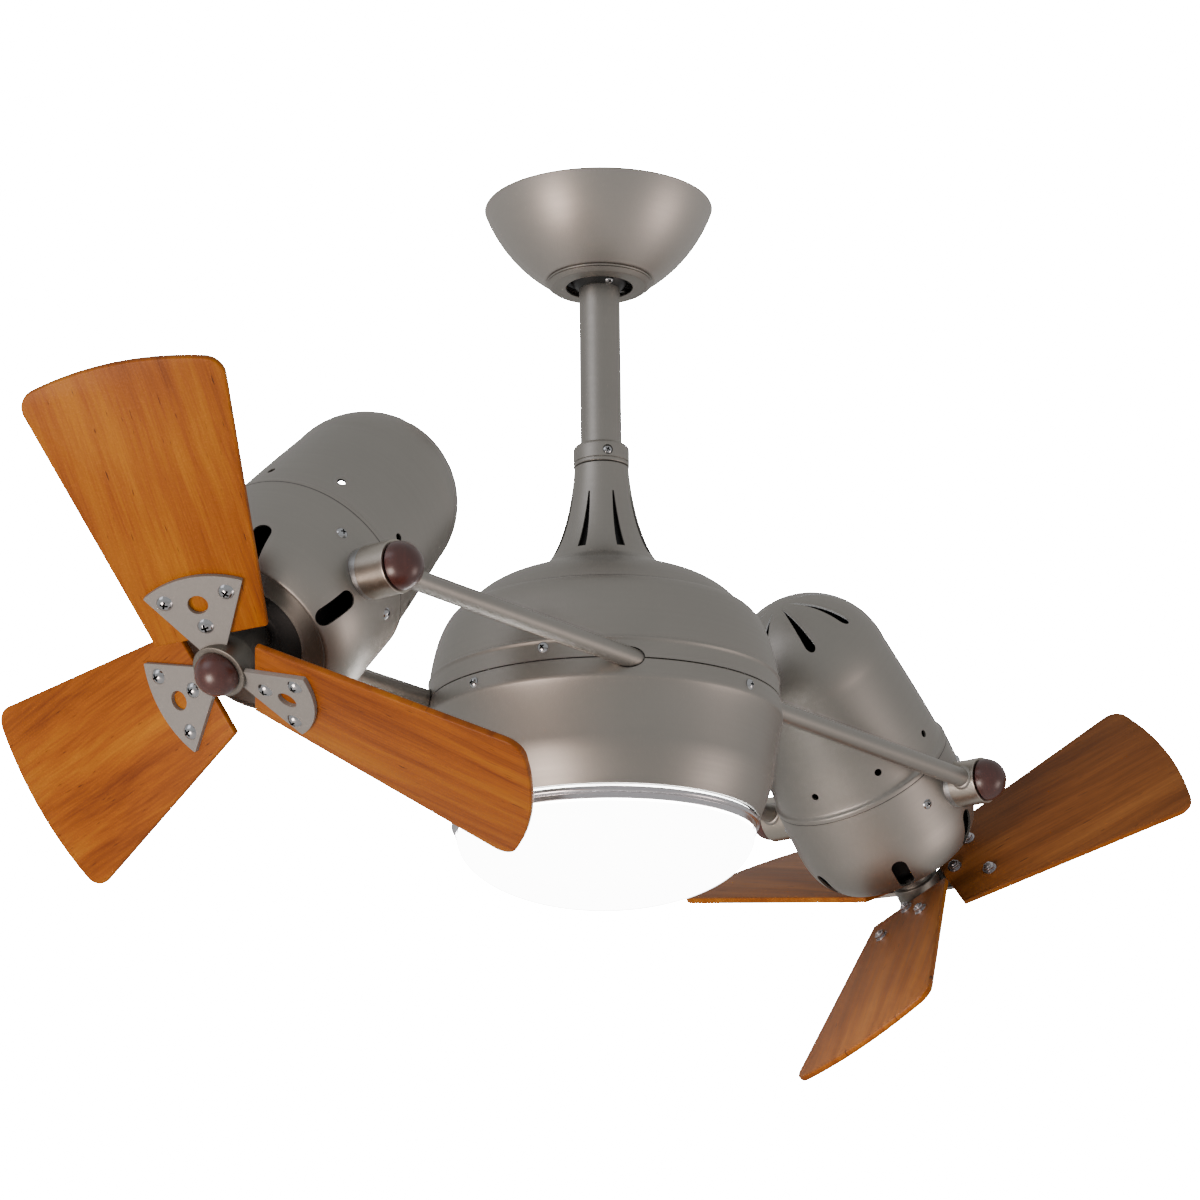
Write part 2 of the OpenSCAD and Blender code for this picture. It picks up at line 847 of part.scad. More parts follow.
boss_in = shell_r + boss_gap;
boss_out = boss_in + boss_l;
pocket_r = 9;
pocket_l = 7.6;
arm_inner_x = 12;
weld_x = arm_reach - sqrt(boss_r * boss_r - arm_r * arm_r);

// side is -1 on the left and 1 on the right, and end is -1 for the near arm and 1 for the far one
module arm(side, end) {
    color(pewter)
        difference() {
            union() {
                arm_rod(side, end, arm_r, arm_inner_x, arm_reach - boss_r + 3);
                // The weld bead round the end of the tube
                translate([side * weld_x, end * arm_y, seam_z])
                    rotate([0, -side * 90, 0])
                        rotate_extrude()
                            polygon([
                                [arm_r - eps, -2], [arm_r + 1.6, -2], [arm_r + 1.6, 0.2],
                                [arm_r + 1, 1.4], [arm_r - eps, 1.8]
                            ]);
                at_boss(side, end)
                    translate([0, 0, boss_in])
                        cylinder(r = boss_r, h = boss_l);
            }
            arm_rod(side, end, arm_r - arm_wall, arm_inner_x - 1, arm_reach - boss_r + 3);
            at_boss(side, end) {
                translate([0, 0, boss_in - eps])
                    cylinder(r = stud_r + run_gap, h = boss_l);
                translate([0, 0, boss_out - pocket_l])
                    cylinder(r = pocket_r, h = pocket_l + eps);
            }
        }
}

module arm_rod(side, end, r, x0, x1) {
    translate([side > 0 ? x0 : -x1, end * arm_y, seam_z])
        rotate([0, 90, 0])
            cylinder(r = r, h = x1 - x0);
}

// On a tilt axis, with +Z out of the head
module at_boss(side, end) {
    translate([side * arm_reach, 0, seam_z])
        rotate([-end * 90, 0, 0])
            children();
}

module wood_cap(side, end) {
    spigot_l = 3.4;
    foot = boss_out + face_gap + 0.3;
    color(red_wood)
        at_boss(side, end)
            union() {
                translate([0, 0, foot])
                    difference() {
                        sphere(r = wood_cap_r);
                        translate([0, 0, -wood_cap_r])
                            cylinder(r = wood_cap_r + 1, h = wood_cap_r);
                    }
                translate([0, 0, boss_out - spigot_l])
                    cylinder(r = pocket_r - seat, h = spigot_l + face_gap + 0.8);
            }
}

module left_near_arm() { arm(-1, -1); }
module left_far_arm() { arm(-1, 1); }
module right_near_arm() { arm(1, -1); }
module right_far_arm() { arm(1, 1); }
module left_near_cap() { wood_cap(-1, -1); }
module left_far_cap() { wood_cap(-1, 1); }
module right_near_cap() { wood_cap(1, -1); }
module right_far_cap() { wood_cap(1, 1); }

// ---------- Heads ----------

// On a head's tilt axis: Y is the axis, and +Z points the way that the head faces. The right head
// is the left one turned half round the fan.
module at_pivot(side) {
    rotate([0, 0, side > 0 ? 180 : 0])
        translate([-arm_reach, 0, seam_z])
            rotate([0, -90 - (side > 0 ? right_tilt : left_tilt), 0])
                children();
}

// A head's own frame: +Z runs along the motor's shaft towards the blades, and X is up
module at_head(side) {
    at_pivot(side)
        translate([-axis_drop, 0, 0])
            children();
}

lip_r = shell_r - shell_t - 0.15;
shoulder = 9;
face_dip = 1;
// One slot lies right before each stud
side_slot_angle = 30;
shell_screw_s = -6;
shell_screw_angle = 26;
shell_screw_h = 2.1;
stud_angles = [-90, 90];

module stud_holes() {
    translate([axis_drop, 0, 0])
        rotate([90, 0, 0])
            cylinder(r = stud_r + seat, h = 3 * shell_r, center = true);
}

module shell_screw_holes() {
    for (a = stud_angles, turn = [-shell_screw_angle, shell_screw_angle])
        facing(a + turn, lip_r - 6, shell_screw_s)
            cylinder(r = shank_r + seat, h = 12, $fn = 36);
}

module side_slot() {
    // The slot lies over the shoulder and is cut square to it
    lean = 27;
    translate([shell_r - 6, 0, rim_front - 12.5])
        rotate([0, 90 - lean, 0])
            translate([0, 0, -9])
                linear_extrude(24)
                    union() {
                        square([side_slot_l - side_slot_w, side_slot_w], center = true);
                        for (end = [-1, 1])
                            translate([end * (side_slot_l - side_slot_w) / 2, 0])
                                circle(r = side_slot_w / 2);
                    }
}

module front_shell(side) {
    face = rim_front - face_dip;
    side_line = concat(
        [[shell_r, -seam_back]],
        curve([shell_r, shoulder], [shell_r, shoulder + 20], [rim_r + 7, rim_front - 6.5],
            [rim_r, rim_front], fine)
    );
    inner_line = concat(
        [[shell_r - shell_t, -seam_back]],
        curve([shell_r - shell_t, shoulder], [shell_r - shell_t, shoulder + 19.4],
            [rim_r + 6, rim_front - 7.8], [rim_r - 1, rim_front - 1.6], fine)
    );
    color(pewter)
        at_head(side)
            difference() {
                rotate_extrude()
                    polygon(concat(
                        side_line,
                        [
                            [rim_r - 1.2, rim_front], [rim_r - 2.4, face],
                            [mouth_r, face], [mouth_r, face - shell_t],
                            [rim_r - 3, face - shell_t]
                        ],
                        backwards(inner_line)
                    ));
                stud_holes();
                shell_screw_holes();
                for (i = [0 : side_slots - 1])
                    rotate([0, 0, side_slot_angle + 360 / side_slots * i])
                        side_slot();
                rotate([0, 0, 4])
                    translate([rim_r - 5, 0, face - 3])
                        cylinder(r = shank_r, h = 5, $fn = 36);
            }
}

module teardrop() {
    big = 3.3;
    tip = 9;
    end = 42.6;
    // Half width of the straight sides, just inside the round end
    side = big - 0.05;
    linear_extrude(dome_r + 3)
        union() {
            translate([end, 0])
                circle(r = big);
            polygon([[tip, 0], [end, side], [end, -side]]);
        }
}

module rear_shell(side) {
    seam_s = -seam_back;
    dome_s = -dome_back;
    bead = 2;
    // Radius right behind the bead, and further back
    waist = [shell_r - 2.2, shell_r - 3.6];
    waist_s = seam_s - 33;
    outer = concat(
        [[lip_r - shell_t, seam_s + lip_l], [lip_r, seam_s + lip_l], [lip_r, seam_s]],
        [[shell_r, seam_s], [shell_r, seam_s - bead]],
        arc([shell_r - bead, seam_s - bead], bead, 0, -60, coarse),
        [[waist[0], seam_s - 6], [waist[1], waist_s], [dome_r, dome_s]],
        arc([0, dome_s], dome_r, -90 / fine, -90, fine)
    );
    hollow = concat(
        [[0, dome_s - dome_r + shell_t]],
        arc([0, dome_s], dome_r - shell_t, -90 + 90 / fine, 0, fine),
        [
            [waist[1] - shell_t, waist_s], [waist[0] - shell_t, seam_s - 6],
            [lip_r - shell_t, seam_s - 1]
        ]
    );
    color(pewter)
        at_head(side)
            difference() {
                rotate_extrude()
                    polygon(concat(outer, hollow));
                stud_holes();
                shell_screw_holes();
                for (i = [0 : vents - 1])
                    facing(360 / vents * i, dome_r - 6, seam_s - 19.8)
                        cylinder(r = vent_r, h = 20, $fn = 36);
                for (i = [0 : dome_slots - 1])
                    rotate([0, 0, 360 / dome_slots * i])
                        translate([0, 0, dome_s - dome_r - 3])
                            teardrop();
            }
}

module shell_screws(side) {
    color(steel)
        at_head(side)
            for (a = stud_angles, turn = [-shell_screw_angle, shell_screw_angle])
                facing(a + turn, shell_r, shell_screw_s)
                    pan_screw(screw_head_r, shell_screw_h, shank_r, 6);
}

stator_back = -52;
stator_front = 8;
plate_s = -18;

module stator(side) {
    plate_r = lip_r - shell_t - seat;
    color(dark)
        at_head(side)
            difference() {
                union() {
                    translate([0, 0, stator_back])
                        cylinder(r = stator_r, h = stator_front - stator_back);
                    // The plate that holds the motor in the rear shell's lip
                    translate([0, 0, plate_s])
                        cylinder(r = plate_r, h = 3);
                }
                translate([0, 0, stator_back - eps])
                    cylinder(r = shaft_r + run_gap, h = stator_front - stator_back + 2 * eps);
            }
}

module pivot_studs(side) {
    inner_l = 5;
    inner_r = stud_r + 3;
    saddle_r = boss_r - 0.8;
    nut_l = 3.2;
    // The stud's inner head bears on the inside of the rear shell's lip
    head_flat = sqrt(pow(lip_r - shell_t, 2) - pow(inner_r + axis_drop, 2)) - seat;
    color(steel)
        at_pivot(side)
            for (end = [-1, 1])
                rotate([-end * 90, 0, 0])
                    difference() {
                        union() {
                            translate([0, 0, head_flat - inner_l])
                                cylinder(r = inner_r, h = inner_l);
                            translate([0, 0, head_flat - inner_l])
                                cylinder(r = stud_r, h = boss_out - pocket_l + nut_l - head_flat
                                    + inner_l);
                            // Saddle washer between the shell and the boss
                            difference() {
                                translate([0, 0, shell_r - 4])
                                    cylinder(r = saddle_r, h = boss_gap + 4 - face_gap);
                                translate([-axis_drop, 0, 0])
                                    rotate([90, 0, 0])
                                        cylinder(r = shell_r + seat, h = 3 * saddle_r, center = true);
                            }
                            translate([0, 0, boss_out - pocket_l + face_gap])
                                cylinder(r = pocket_r - 0.7, h = nut_l - face_gap);
                        }
                        translate([0, 0, head_flat - inner_l - eps])
                            cylinder(r = stud_r / 2, h = boss_out);
                    }
}

module left_front_shell() { front_shell(-1); }
module left_rear_shell() { rear_shell(-1); }
module left_shell_screws() { shell_screws(-1); }
module left_stator() { stator(-1); }
module left_pivot_studs() { pivot_studs(-1); }
module right_front_shell() { front_shell(1); }
module right_rear_shell() { rear_shell(1); }
module right_shell_screws() { shell_screws(1); }
module right_stator() { stator(1); }
module right_pivot_studs() { pivot_studs(1); }

// ---------- Rotors ----------

bell_back = stator_front + 4;
bell_front = rim_front - face_dip - shell_t - 1;
bell_r = mouth_r + 9;
shaft_end = iron_front - 14;
hub_back = bell_front;
hub_disc_back = iron_front - 13;
hub_front = iron_front + 3.5;
hub_neck_r = 13;
tongue_r = 9.5;

module motor_rotor(side) {
    color(dark)
        at_head(side)
            union() {
                translate([0, 0, stator_back + 2])
                    cylinder(r = shaft_r, h = shaft_end - stator_back - 2);
                rotate_extrude()
                    polygon([
                        [0, bell_back], [bell_r - 2, bell_back], [bell_r, bell_back + 2],
                        [bell_r, bell_front - 5], [bell_r - 5, bell_front], [0, bell_front]
                    ]);
            }
}

// Frame of the blade number i: X runs out along the blade, and the iron's face is on z = 0
module at_blade(side, i) {
    at_head(side)
        translate([0, 0, iron_front])
            rotate([0, 0, (side > 0 ? right_turn : left_turn) + 120 * i])
                rotate([pitch, 0, 0])
                    children();
}

// Outline of a blade iron, grown by g
module iron_shape(g) {
    reach = iron_r * 1.5;
    difference() {
        intersection() {
            circle(r = iron_r + g);
            polygon([
                [0, -g / cos(iron_half_angle)],
                [reach, -reach * tan(iron_half_angle) - g / cos(iron_half_angle)],
                [reach, reach * tan(iron_half_angle) + g / cos(iron_half_angle)],
                [0, g / cos(iron_half_angle)]
            ]);
        }
        circle(r = tongue_r - g);
    }
}

module hub(side) {
    color([0.45, 0.44, 0.42])
        difference() {
            at_head(side)
                difference() {
                    union() {
                        translate([0, 0, hub_back])
                            cylinder(r = hub_neck_r, h = hub_disc_back - hub_back + eps);
                        translate([0, 0, hub_disc_back])
                            cylinder(r = hub_r, h = hub_front - hub_disc_back);
                    }
                    translate([0, 0, hub_back - eps])
                        cylinder(r = shaft_r + seat, h = shaft_end + seat - hub_back + eps);
                }
            // Slots that the irons' inner ends sit in
            for (i = [0 : 2])
                at_blade(side, i)
                    translate([0, 0, -iron_t - seat])
                        linear_extrude(iron_t + 2 * seat)
                            iron_shape(seat);
        }
}

// Places of a blade's three screws
screw_out_u = 47.9;
screw_out_v = 18.6;
screw_in_u = 28.8;
screw_spots = [[screw_out_u, screw_out_v], [screw_out_u, -screw_out_v], [screw_in_u, 0]];
iron_hole_u = 43.1;
screw_shank_r = 2;
screw_nut_r = 4;
screw_nut_h = 2.8;

module screw_holes() {
    for (spot = screw_spots)
        translate([spot[0], spot[1], -iron_t - blade_t - eps])
            cylinder(r = screw_shank_r + seat, h = iron_t + blade_t + 2 * eps, $fn = 36);
}

module blade_irons(side) {
    color([0.62, 0.61, 0.60])
        for (i = [0 : 2])
            at_blade(side, i)
                difference() {
                    translate([0, 0, -iron_t])
                        linear_extrude(iron_t)
                            iron_shape(0);
                    translate([iron_hole_u, 0, -iron_t - eps])
                        cylinder(r = iron_hole_r, h = iron_t + 2 * eps);
                    screw_holes();
                }
}

module blade_screws(side) {
    color(steel)
        for (i = [0 : 2], spot = screw_spots)
            at_blade(side, i)
                translate([spot[0], spot[1], 0]) {
                    pan_screw(head_r, 2.9, screw_shank_r, iron_t + blade_t + screw_nut_h + 0.8);
                    // Washer and nut behind the blade
                    translate([0, 0, -iron_t - blade_t - 0.6])
                        cylinder(r = screw_nut_r + 1, h = 0.6);
                    translate([0, 0, -iron_t - blade_t - 0.6 - screw_nut_h])
                        cylinder(r = screw_nut_r, h = screw_nut_h, $fn = 6);
                }
}

// Outline of a blade: straight flared sides, round tip corners and a tip round the shaft
slope = sqrt(1 + blade_flare * blade_flare);
side_v = root_v - blade_flare * root_u;
corner_v = side_v - slope * tip_corner;
corner_r = blade_r - tip_corner;
corner_u = (-blade_flare * corner_v
    + sqrt(pow(blade_flare * corner_v, 2)
        - slope * slope * (corner_v * corner_v - corner_r * corner_r))) / (slope * slope);
corner_at = [corner_u, corner_v + blade_flare * corner_u];
corner_angle = atan2(corner_at[1], corner_at[0]);
half_blade = concat(
    [[root_u, root_v]],
    arc(corner_at, tip_corner, 90 + atan(blade_flare), corner_angle, coarse),
    arc([0, 0], blade_r, corner_angle * (1 - 1 / coarse), 0, coarse - 1)
);

module blade(side, i) {
    color(orange_wood)
        at_blade(side, i)
            difference() {
                translate([0, 0, -iron_t - blade_t])
                    linear_extrude(blade_t)
                        polygon(concat(
                            half_blade,
                            [for (j = [len(half_blade) - 2 : -1 : 0])
                                [half_blade[j][0], -half_blade[j][1]]]
                        ));
                screw_holes();
            }
}

module hub_button(side) {
    color(red_wood)
        at_head(side)
            translate([0, 0, hub_front])
                difference() {
                    translate([0, 0, 1])
                        sphere(r = button_r);
                    translate([0, 0, -2 * button_r])
                        cylinder(r = 2 * button_r, h = 2 * button_r);
                }
}

module left_motor_rotor() { motor_rotor(-1); }
module left_hub() { hub(-1); }
module left_blade_irons() { blade_irons(-1); }
module left_blade_screws() { blade_screws(-1); }
module left_hub_button() { hub_button(-1); }
module right_motor_rotor() { motor_rotor(1); }
module right_hub() { hub(1); }
module right_blade_irons() { blade_irons(1); }
module right_blade_screws() { blade_screws(1); }
module right_hub_button() { hub_button(1); }

// ---------- The fan ----------

hanger_bracket();
canopy();
canopy_gasket();
canopy_trim_ring();
canopy_screws();
hanger_ball();
ball_pin();
ground_screw();
downrod();
rod_coupling();
coupling_screws();
spindle();
slip_ring();
neck_cap();
upper_housing();
lower_housing();
housing_screws();
centre_frame();
upper_bearing();
lower_bearing();
brush_block();
lamp_pan();
lampholder();
lamp();
glass_ring();
glass_bowl();
left_near_arm();
left_far_arm();
right_near_arm();
right_far_arm();
left_near_cap();
left_far_cap();
right_near_cap();
right_far_cap();
left_front_shell();
left_rear_shell();
left_shell_screws();
left_stator();
left_pivot_studs();
right_front_shell();
right_rear_shell();
right_shell_screws();
right_stator();
right_pivot_studs();
left_motor_rotor();
left_hub();
left_blade_irons();
left_blade_screws();
left_hub_button();
blade(-1, 0);  // left_blade_1
blade(-1, 1);  // left_blade_2
blade(-1, 2);  // left_blade_3
right_motor_rotor();
right_hub();
right_blade_irons();
right_blade_screws();
right_hub_button();
blade(1, 0);  // right_blade_1
blade(1, 1);  // right_blade_2
blade(1, 2);  // right_blade_3
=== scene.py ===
import bmesh
import bpy
from math import asin, atan2, cos, hypot, pi, radians, sin, sqrt, tan
from mathutils import Matrix, Vector


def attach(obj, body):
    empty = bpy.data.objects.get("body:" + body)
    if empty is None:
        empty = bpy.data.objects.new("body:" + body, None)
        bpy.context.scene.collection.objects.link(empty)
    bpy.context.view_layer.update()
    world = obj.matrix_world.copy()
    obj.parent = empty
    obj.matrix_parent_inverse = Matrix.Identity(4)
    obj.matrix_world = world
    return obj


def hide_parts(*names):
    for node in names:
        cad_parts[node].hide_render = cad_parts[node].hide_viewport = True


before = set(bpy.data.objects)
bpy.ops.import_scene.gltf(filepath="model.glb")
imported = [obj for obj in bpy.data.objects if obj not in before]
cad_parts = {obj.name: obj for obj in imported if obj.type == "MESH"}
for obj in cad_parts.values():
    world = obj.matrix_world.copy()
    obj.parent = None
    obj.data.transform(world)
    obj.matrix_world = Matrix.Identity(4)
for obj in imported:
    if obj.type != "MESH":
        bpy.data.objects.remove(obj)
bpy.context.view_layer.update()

# ---------------------------------------------------------------------------
# The view: a long lens below and to the left of the fan, looking a little up
# at it, as in the photograph. The frame is 1200 by 1200.
def in_scene(name, data):
    """A new object in the scene that holds this data."""
    made = bpy.data.objects.new(name, data)
    bpy.context.scene.collection.objects.link(made)
    return made


MM = 0.001
VIEW_DISTANCE = 2.8042
VIEW_TURN = radians(53.42)
VIEW_HEIGHT = -1.1162
VIEW_YAW = radians(-0.04)
VIEW_PITCH = radians(16.82)
VIEW_ROLL = radians(-0.66)
LENS = 136.93

ahead = Vector((sin(VIEW_TURN), cos(VIEW_TURN), 0))
eye = -VIEW_DISTANCE * ahead + Vector((0, 0, VIEW_HEIGHT))
up = Vector((0, 0, 1))
forward = cos(VIEW_YAW) * ahead + sin(VIEW_YAW) * ahead.cross(up)
right = forward.cross(up)
sight = cos(VIEW_PITCH) * forward + sin(VIEW_PITCH) * up
top = right.cross(sight)
right, top = (
    cos(VIEW_ROLL) * right + sin(VIEW_ROLL) * top,
    cos(VIEW_ROLL) * top - sin(VIEW_ROLL) * right,
)
camera = in_scene("camera", bpy.data.cameras.new("camera"))
camera.data.lens = LENS
camera.data.sensor_width = 36
camera.data.clip_end = 50
camera.matrix_world = Matrix.Translation(eye) @ Matrix((right, top, -sight)).transposed().to_4x4()
bpy.context.scene.camera = camera


# ---------------------------------------------------------------------------
# The studio: a pale floor well below the fan, a white surround, and three
# soft lights. The key stands to the left of the view, low enough to reach
# under the heads.
def hex_colour(code):
    """An sRGB hex colour as linear red, green, blue and alpha."""
    parts = [int(code[i : i + 2], 16) / 255 for i in (0, 2, 4)]
    return [c / 12.92 if c <= 0.04045 else ((c + 0.055) / 1.055) ** 2.4 for c in parts] + [1.0]


def add(tree, kind, inputs=(), **settings):
    """Adds a node; inputs holds (socket, value or output socket) pairs."""
    made = tree.nodes.new(kind)
    for key, value in settings.items():
        setattr(made, key, value)
    for key, value in dict(inputs).items():
        if isinstance(value, bpy.types.NodeSocket):
            tree.links.new(value, made.inputs[key])
        else:
            made.inputs[key].default_value = value
    return made


def softbox(name, place, aim, size, power, tint):
    """A rectangular area light at place, facing aim."""
    light = bpy.data.lights.new(name, "AREA")
    light.shape = "RECTANGLE"
    light.size, light.size_y = size
    light.energy = power
    light.color = hex_colour(tint)[:3]
    lamp = in_scene(name, light)
    lamp.location = place
    lamp.rotation_euler = (Vector(aim) - Vector(place)).to_track_quat("-Z", "Y").to_euler()


FAN_MIDDLE = (0, 0, -0.3)
softbox("key light", (-2.0, 0.26, -1.6), FAN_MIDDLE, (0.9, 0.9), 42, "ffe9dd")
softbox("fill light", (1.2, -2.1, -1.35), FAN_MIDDLE, (1.0, 1.0), 13, "ffe9e0")
softbox("high light", (-2.4, 0.6, 0.9), FAN_MIDDLE, (1.6, 1.6), 12, "f6f6ff")

world = bpy.data.worlds.new("surround")
bpy.context.scene.world = world
world.use_nodes = True
sky = world.node_tree
sky.nodes.clear()
seen = add(sky, "ShaderNodeBackground", {"Color": hex_colour("ffffff"), "Strength": 40.0})
shed = add(sky, "ShaderNodeBackground", {"Color": hex_colour("d4d4d3"), "Strength": 0.85})
which = add(sky, "ShaderNodeLightPath").outputs["Is Camera Ray"]
blend = add(sky, "ShaderNodeMixShader", {0: which, 1: shed.outputs[0], 2: seen.outputs[0]})
add(sky, "ShaderNodeOutputWorld", {"Surface": blend.outputs[0]})


def mesh_of(name, verts, faces=()):
    """A mesh of these points and faces."""
    made = bpy.data.meshes.new(name)
    made.from_pydata(verts, [], faces)
    return made


FLOOR_DROP, FLOOR_HALF = -1.9, 6
corners = ((-1, -1), (1, -1), (1, 1), (-1, 1))
floor_mesh = mesh_of("floor", [(FLOOR_HALF * x, FLOOR_HALF * y, FLOOR_DROP) for x, y in corners],
                     [(0, 1, 2, 3)])
floor = in_scene("floor", floor_mesh)
pale = bpy.data.materials.new("pale floor")
pale.use_nodes = True
matt = pale.node_tree.nodes["Principled BSDF"].inputs
matt["Base Color"].default_value = hex_colour("e9e8e6")
matt["Roughness"].default_value = 0.7
floor_mesh.materials.append(pale)


# ---------------------------------------------------------------------------
# Canopy: a bowl spun from steel sheet, with a thin rubber gasket on the
# ceiling and a rolled trim ring that hides its two screws. Plated and
# brushed to a satin nickel, then lacquered.
def arc(centre, radius, start, end, steps):
    """Points of an arc, as (radius from the axis, height)."""
    return [(centre[0] + radius * cos(start + (end - start) * i / steps),
             centre[1] + radius * sin(start + (end - start) * i / steps)) for i in range(steps + 1)]


def curve(a, b, c, d, steps):
    """A smooth curve from a to d, drawn towards b and c."""
    points = []
    for i in range(steps + 1):
        t = i / steps
        u = 1 - t
        w = (u * u * u, 3 * u * u * t, 3 * u * t * t, t * t * t)
        points.append(tuple(sum(w[k] * p[axis] for k, p in enumerate((a, b, c, d))) for axis in (0, 1)))
    return points


def bulge(p, q, radius, steps):
    """An arc from p down to q that bulges away from the axis."""
    half = hypot(q[0] - p[0], q[1] - p[1]) / 2
    along = ((q[0] - p[0]) / 2 / half, (q[1] - p[1]) / 2 / half)
    back = sqrt(radius * radius - half * half)
    centre = ((p[0] + q[0]) / 2 + back * along[1], (p[1] + q[1]) / 2 - back * along[0])
    return arc(centre, radius, atan2(p[1] - centre[1], p[0] - centre[0]),
               atan2(q[1] - centre[1], q[0] - centre[0]), steps)


def within(path, t):
    """The same path, moved by t towards the inside of the sheet, its ends kept level."""
    moved = []
    for i, p in enumerate(path):
        a, b = path[max(0, i - 1)], path[min(len(path) - 1, i + 1)]
        span = hypot(b[0] - a[0], b[1] - a[1])
        dr, dz = (b[0] - a[0]) / span, (b[1] - a[1]) / span
        at_end = i in (0, len(path) - 1)
        moved.append((max(0, p[0] + t * dz), p[1] if at_end else p[1] - t * dr))
    return moved


def sheet_of(path, t):
    """Closed outline of a sheet of thickness t whose outer face follows the path."""
    return list(path) + within(path, t)[::-1]


def eased(outline, steps=4):
    """Rounds every corner given as (radius, height, ease) in a closed outline."""
    points = []
    count = len(outline)
    for i, p in enumerate(outline):
        if len(p) == 2:
            points.append(p)
            continue
        a, b = outline[i - 1], outline[(i + 1) % count]
        before = hypot(a[0] - p[0], a[1] - p[1])
        after = hypot(b[0] - p[0], b[1] - p[1])
        near = min(p[2] / before, 0.45)
        far = min(p[2] / after, 0.45)
        start = (p[0] + (a[0] - p[0]) * near, p[1] + (a[1] - p[1]) * near)
        end = (p[0] + (b[0] - p[0]) * far, p[1] + (b[1] - p[1]) * far)
        points += curve(start, p[:2], p[:2], end, steps)
    return points


def finished(mesh, sharp=35):
    """Smooth shading that breaks at real edges."""
    mesh.polygons.foreach_set("use_smooth", [True] * len(mesh.polygons))
    mesh.set_sharp_from_angle(angle=radians(sharp))
    mesh.update()


def spun(name, outline, steps=160, place=None):
    """A piece turned round the Z axis from a closed outline of (radius, height) in mm, whose UV map
    runs round the piece and along its outline, in metres; place moves it into the fan."""
    area = sum(a[0] * b[1] - b[0] * a[1] for a, b in zip(outline, outline[1:] + outline[:1]))
    path = [(r * MM, z * MM) for r, z in (outline if area > 0 else outline[::-1])]
    rings, verts = [], []
    for r, z in path:
        if r < 1e-7:
            rings.append([len(verts)] * steps)
            verts.append((0, 0, z))
        else:
            rings.append(list(range(len(verts), len(verts) + steps)))
            verts += [(r * cos(2 * pi * j / steps), r * sin(2 * pi * j / steps), z) for j in range(steps)]
    wide = max(r for r, z in path)
    faces, spots = [], []
    run = 0
    for i, p in enumerate(path):
        q = path[(i + 1) % len(path)]
        step = hypot(q[0] - p[0], q[1] - p[1])
        low, high = rings[i], rings[(i + 1) % len(path)]
        if p[0] < 1e-7 and q[0] < 1e-7:
            continue
        for j in range(steps):
            k = (j + 1) % steps
            corners = ((low[j], j, run), (low[k], j + 1, run), (high[k], j + 1, run + step),
                       (high[j], j, run + step))
            kept = [c for n, c in enumerate(corners) if c[0] not in [d[0] for d in corners[:n]]]
            faces.append([c[0] for c in kept])
            spots += [(wide * 2 * pi * c[1] / steps, c[2]) for c in kept]
        run += step
    mesh = mesh_of(name, verts, faces)
    layer = mesh.uv_layers.new(name="turning")
    layer.data.foreach_set("uv", [x for spot in spots for x in spot])
    if place:
        mesh.transform(place)
    finished(mesh)
    return in_scene(name, mesh)


def new_finish(name):
    """An empty material and its shader."""
    made = bpy.data.materials.new(name)
    made.use_nodes = True
    return made, made.node_tree, made.node_tree.nodes["Principled BSDF"]


def noise(tree, where, scale, detail, distortion=0.0):
    """The value of a noise pattern over the given coordinates."""
    return add(tree, "ShaderNodeTexNoise", {"Vector": where, "Scale": scale, "Detail": detail,
                                            "Distortion": distortion}).outputs[0]


def between(tree, factor, low, high):
    """A colour between two others."""
    return add(tree, "ShaderNodeMix", {0: factor, 6: low, 7: high}, data_type="RGBA").outputs[2]


def surface(tree, shader, colour, gloss_from, gloss, relief_from, strength, depth):
    """Leads a colour, a roughness that follows gloss_from within two limits, and a bump to the shader."""
    rough = add(tree, "ShaderNodeMapRange", {"Value": gloss_from, "To Min": gloss[0], "To Max": gloss[1]})
    relief = add(tree, "ShaderNodeBump", {"Height": relief_from, "Strength": strength, "Distance": depth})
    tree.links.new(colour, shader.inputs["Base Color"])
    tree.links.new(rough.outputs[0], shader.inputs["Roughness"])
    tree.links.new(relief.outputs[0], shader.inputs["Normal"])


def satin_nickel(name, light, dark, roughness, brush_mm=0.6, brush_depth=0.02):
    """Satin nickel plate: the lacquer gives broad soft highlights, and the turning marks of the brush
    run round the piece. They are finer than a pixel, so they are drawn coarser than real."""
    made, tree, shader = new_finish(name)
    where = add(tree, "ShaderNodeUVMap", uv_map="turning")
    long_way = add(tree, "ShaderNodeMapping", {"Vector": where.outputs[0], "Scale": (0.02, 1, 1)})
    marks = noise(tree, long_way.outputs[0], 1 / (brush_mm * MM) / 4, 3.0)
    solid = add(tree, "ShaderNodeTexCoord").outputs["Object"]
    tone = between(tree, noise(tree, solid, 9.0, 4.0), hex_colour(dark), hex_colour(light))
    both = add(tree, "ShaderNodeMath", {0: marks, 1: noise(tree, solid, 2500.0, 1.0)}, operation="ADD")
    surface(tree, shader, tone, marks, (roughness - 0.05, roughness + 0.06), both.outputs[0],
            brush_depth, 0.0005)
    shader.inputs["Metallic"].default_value = 1.0
    return made


nickel = satin_nickel("satin nickel plate", "a5a19b", "93908b", 0.46)


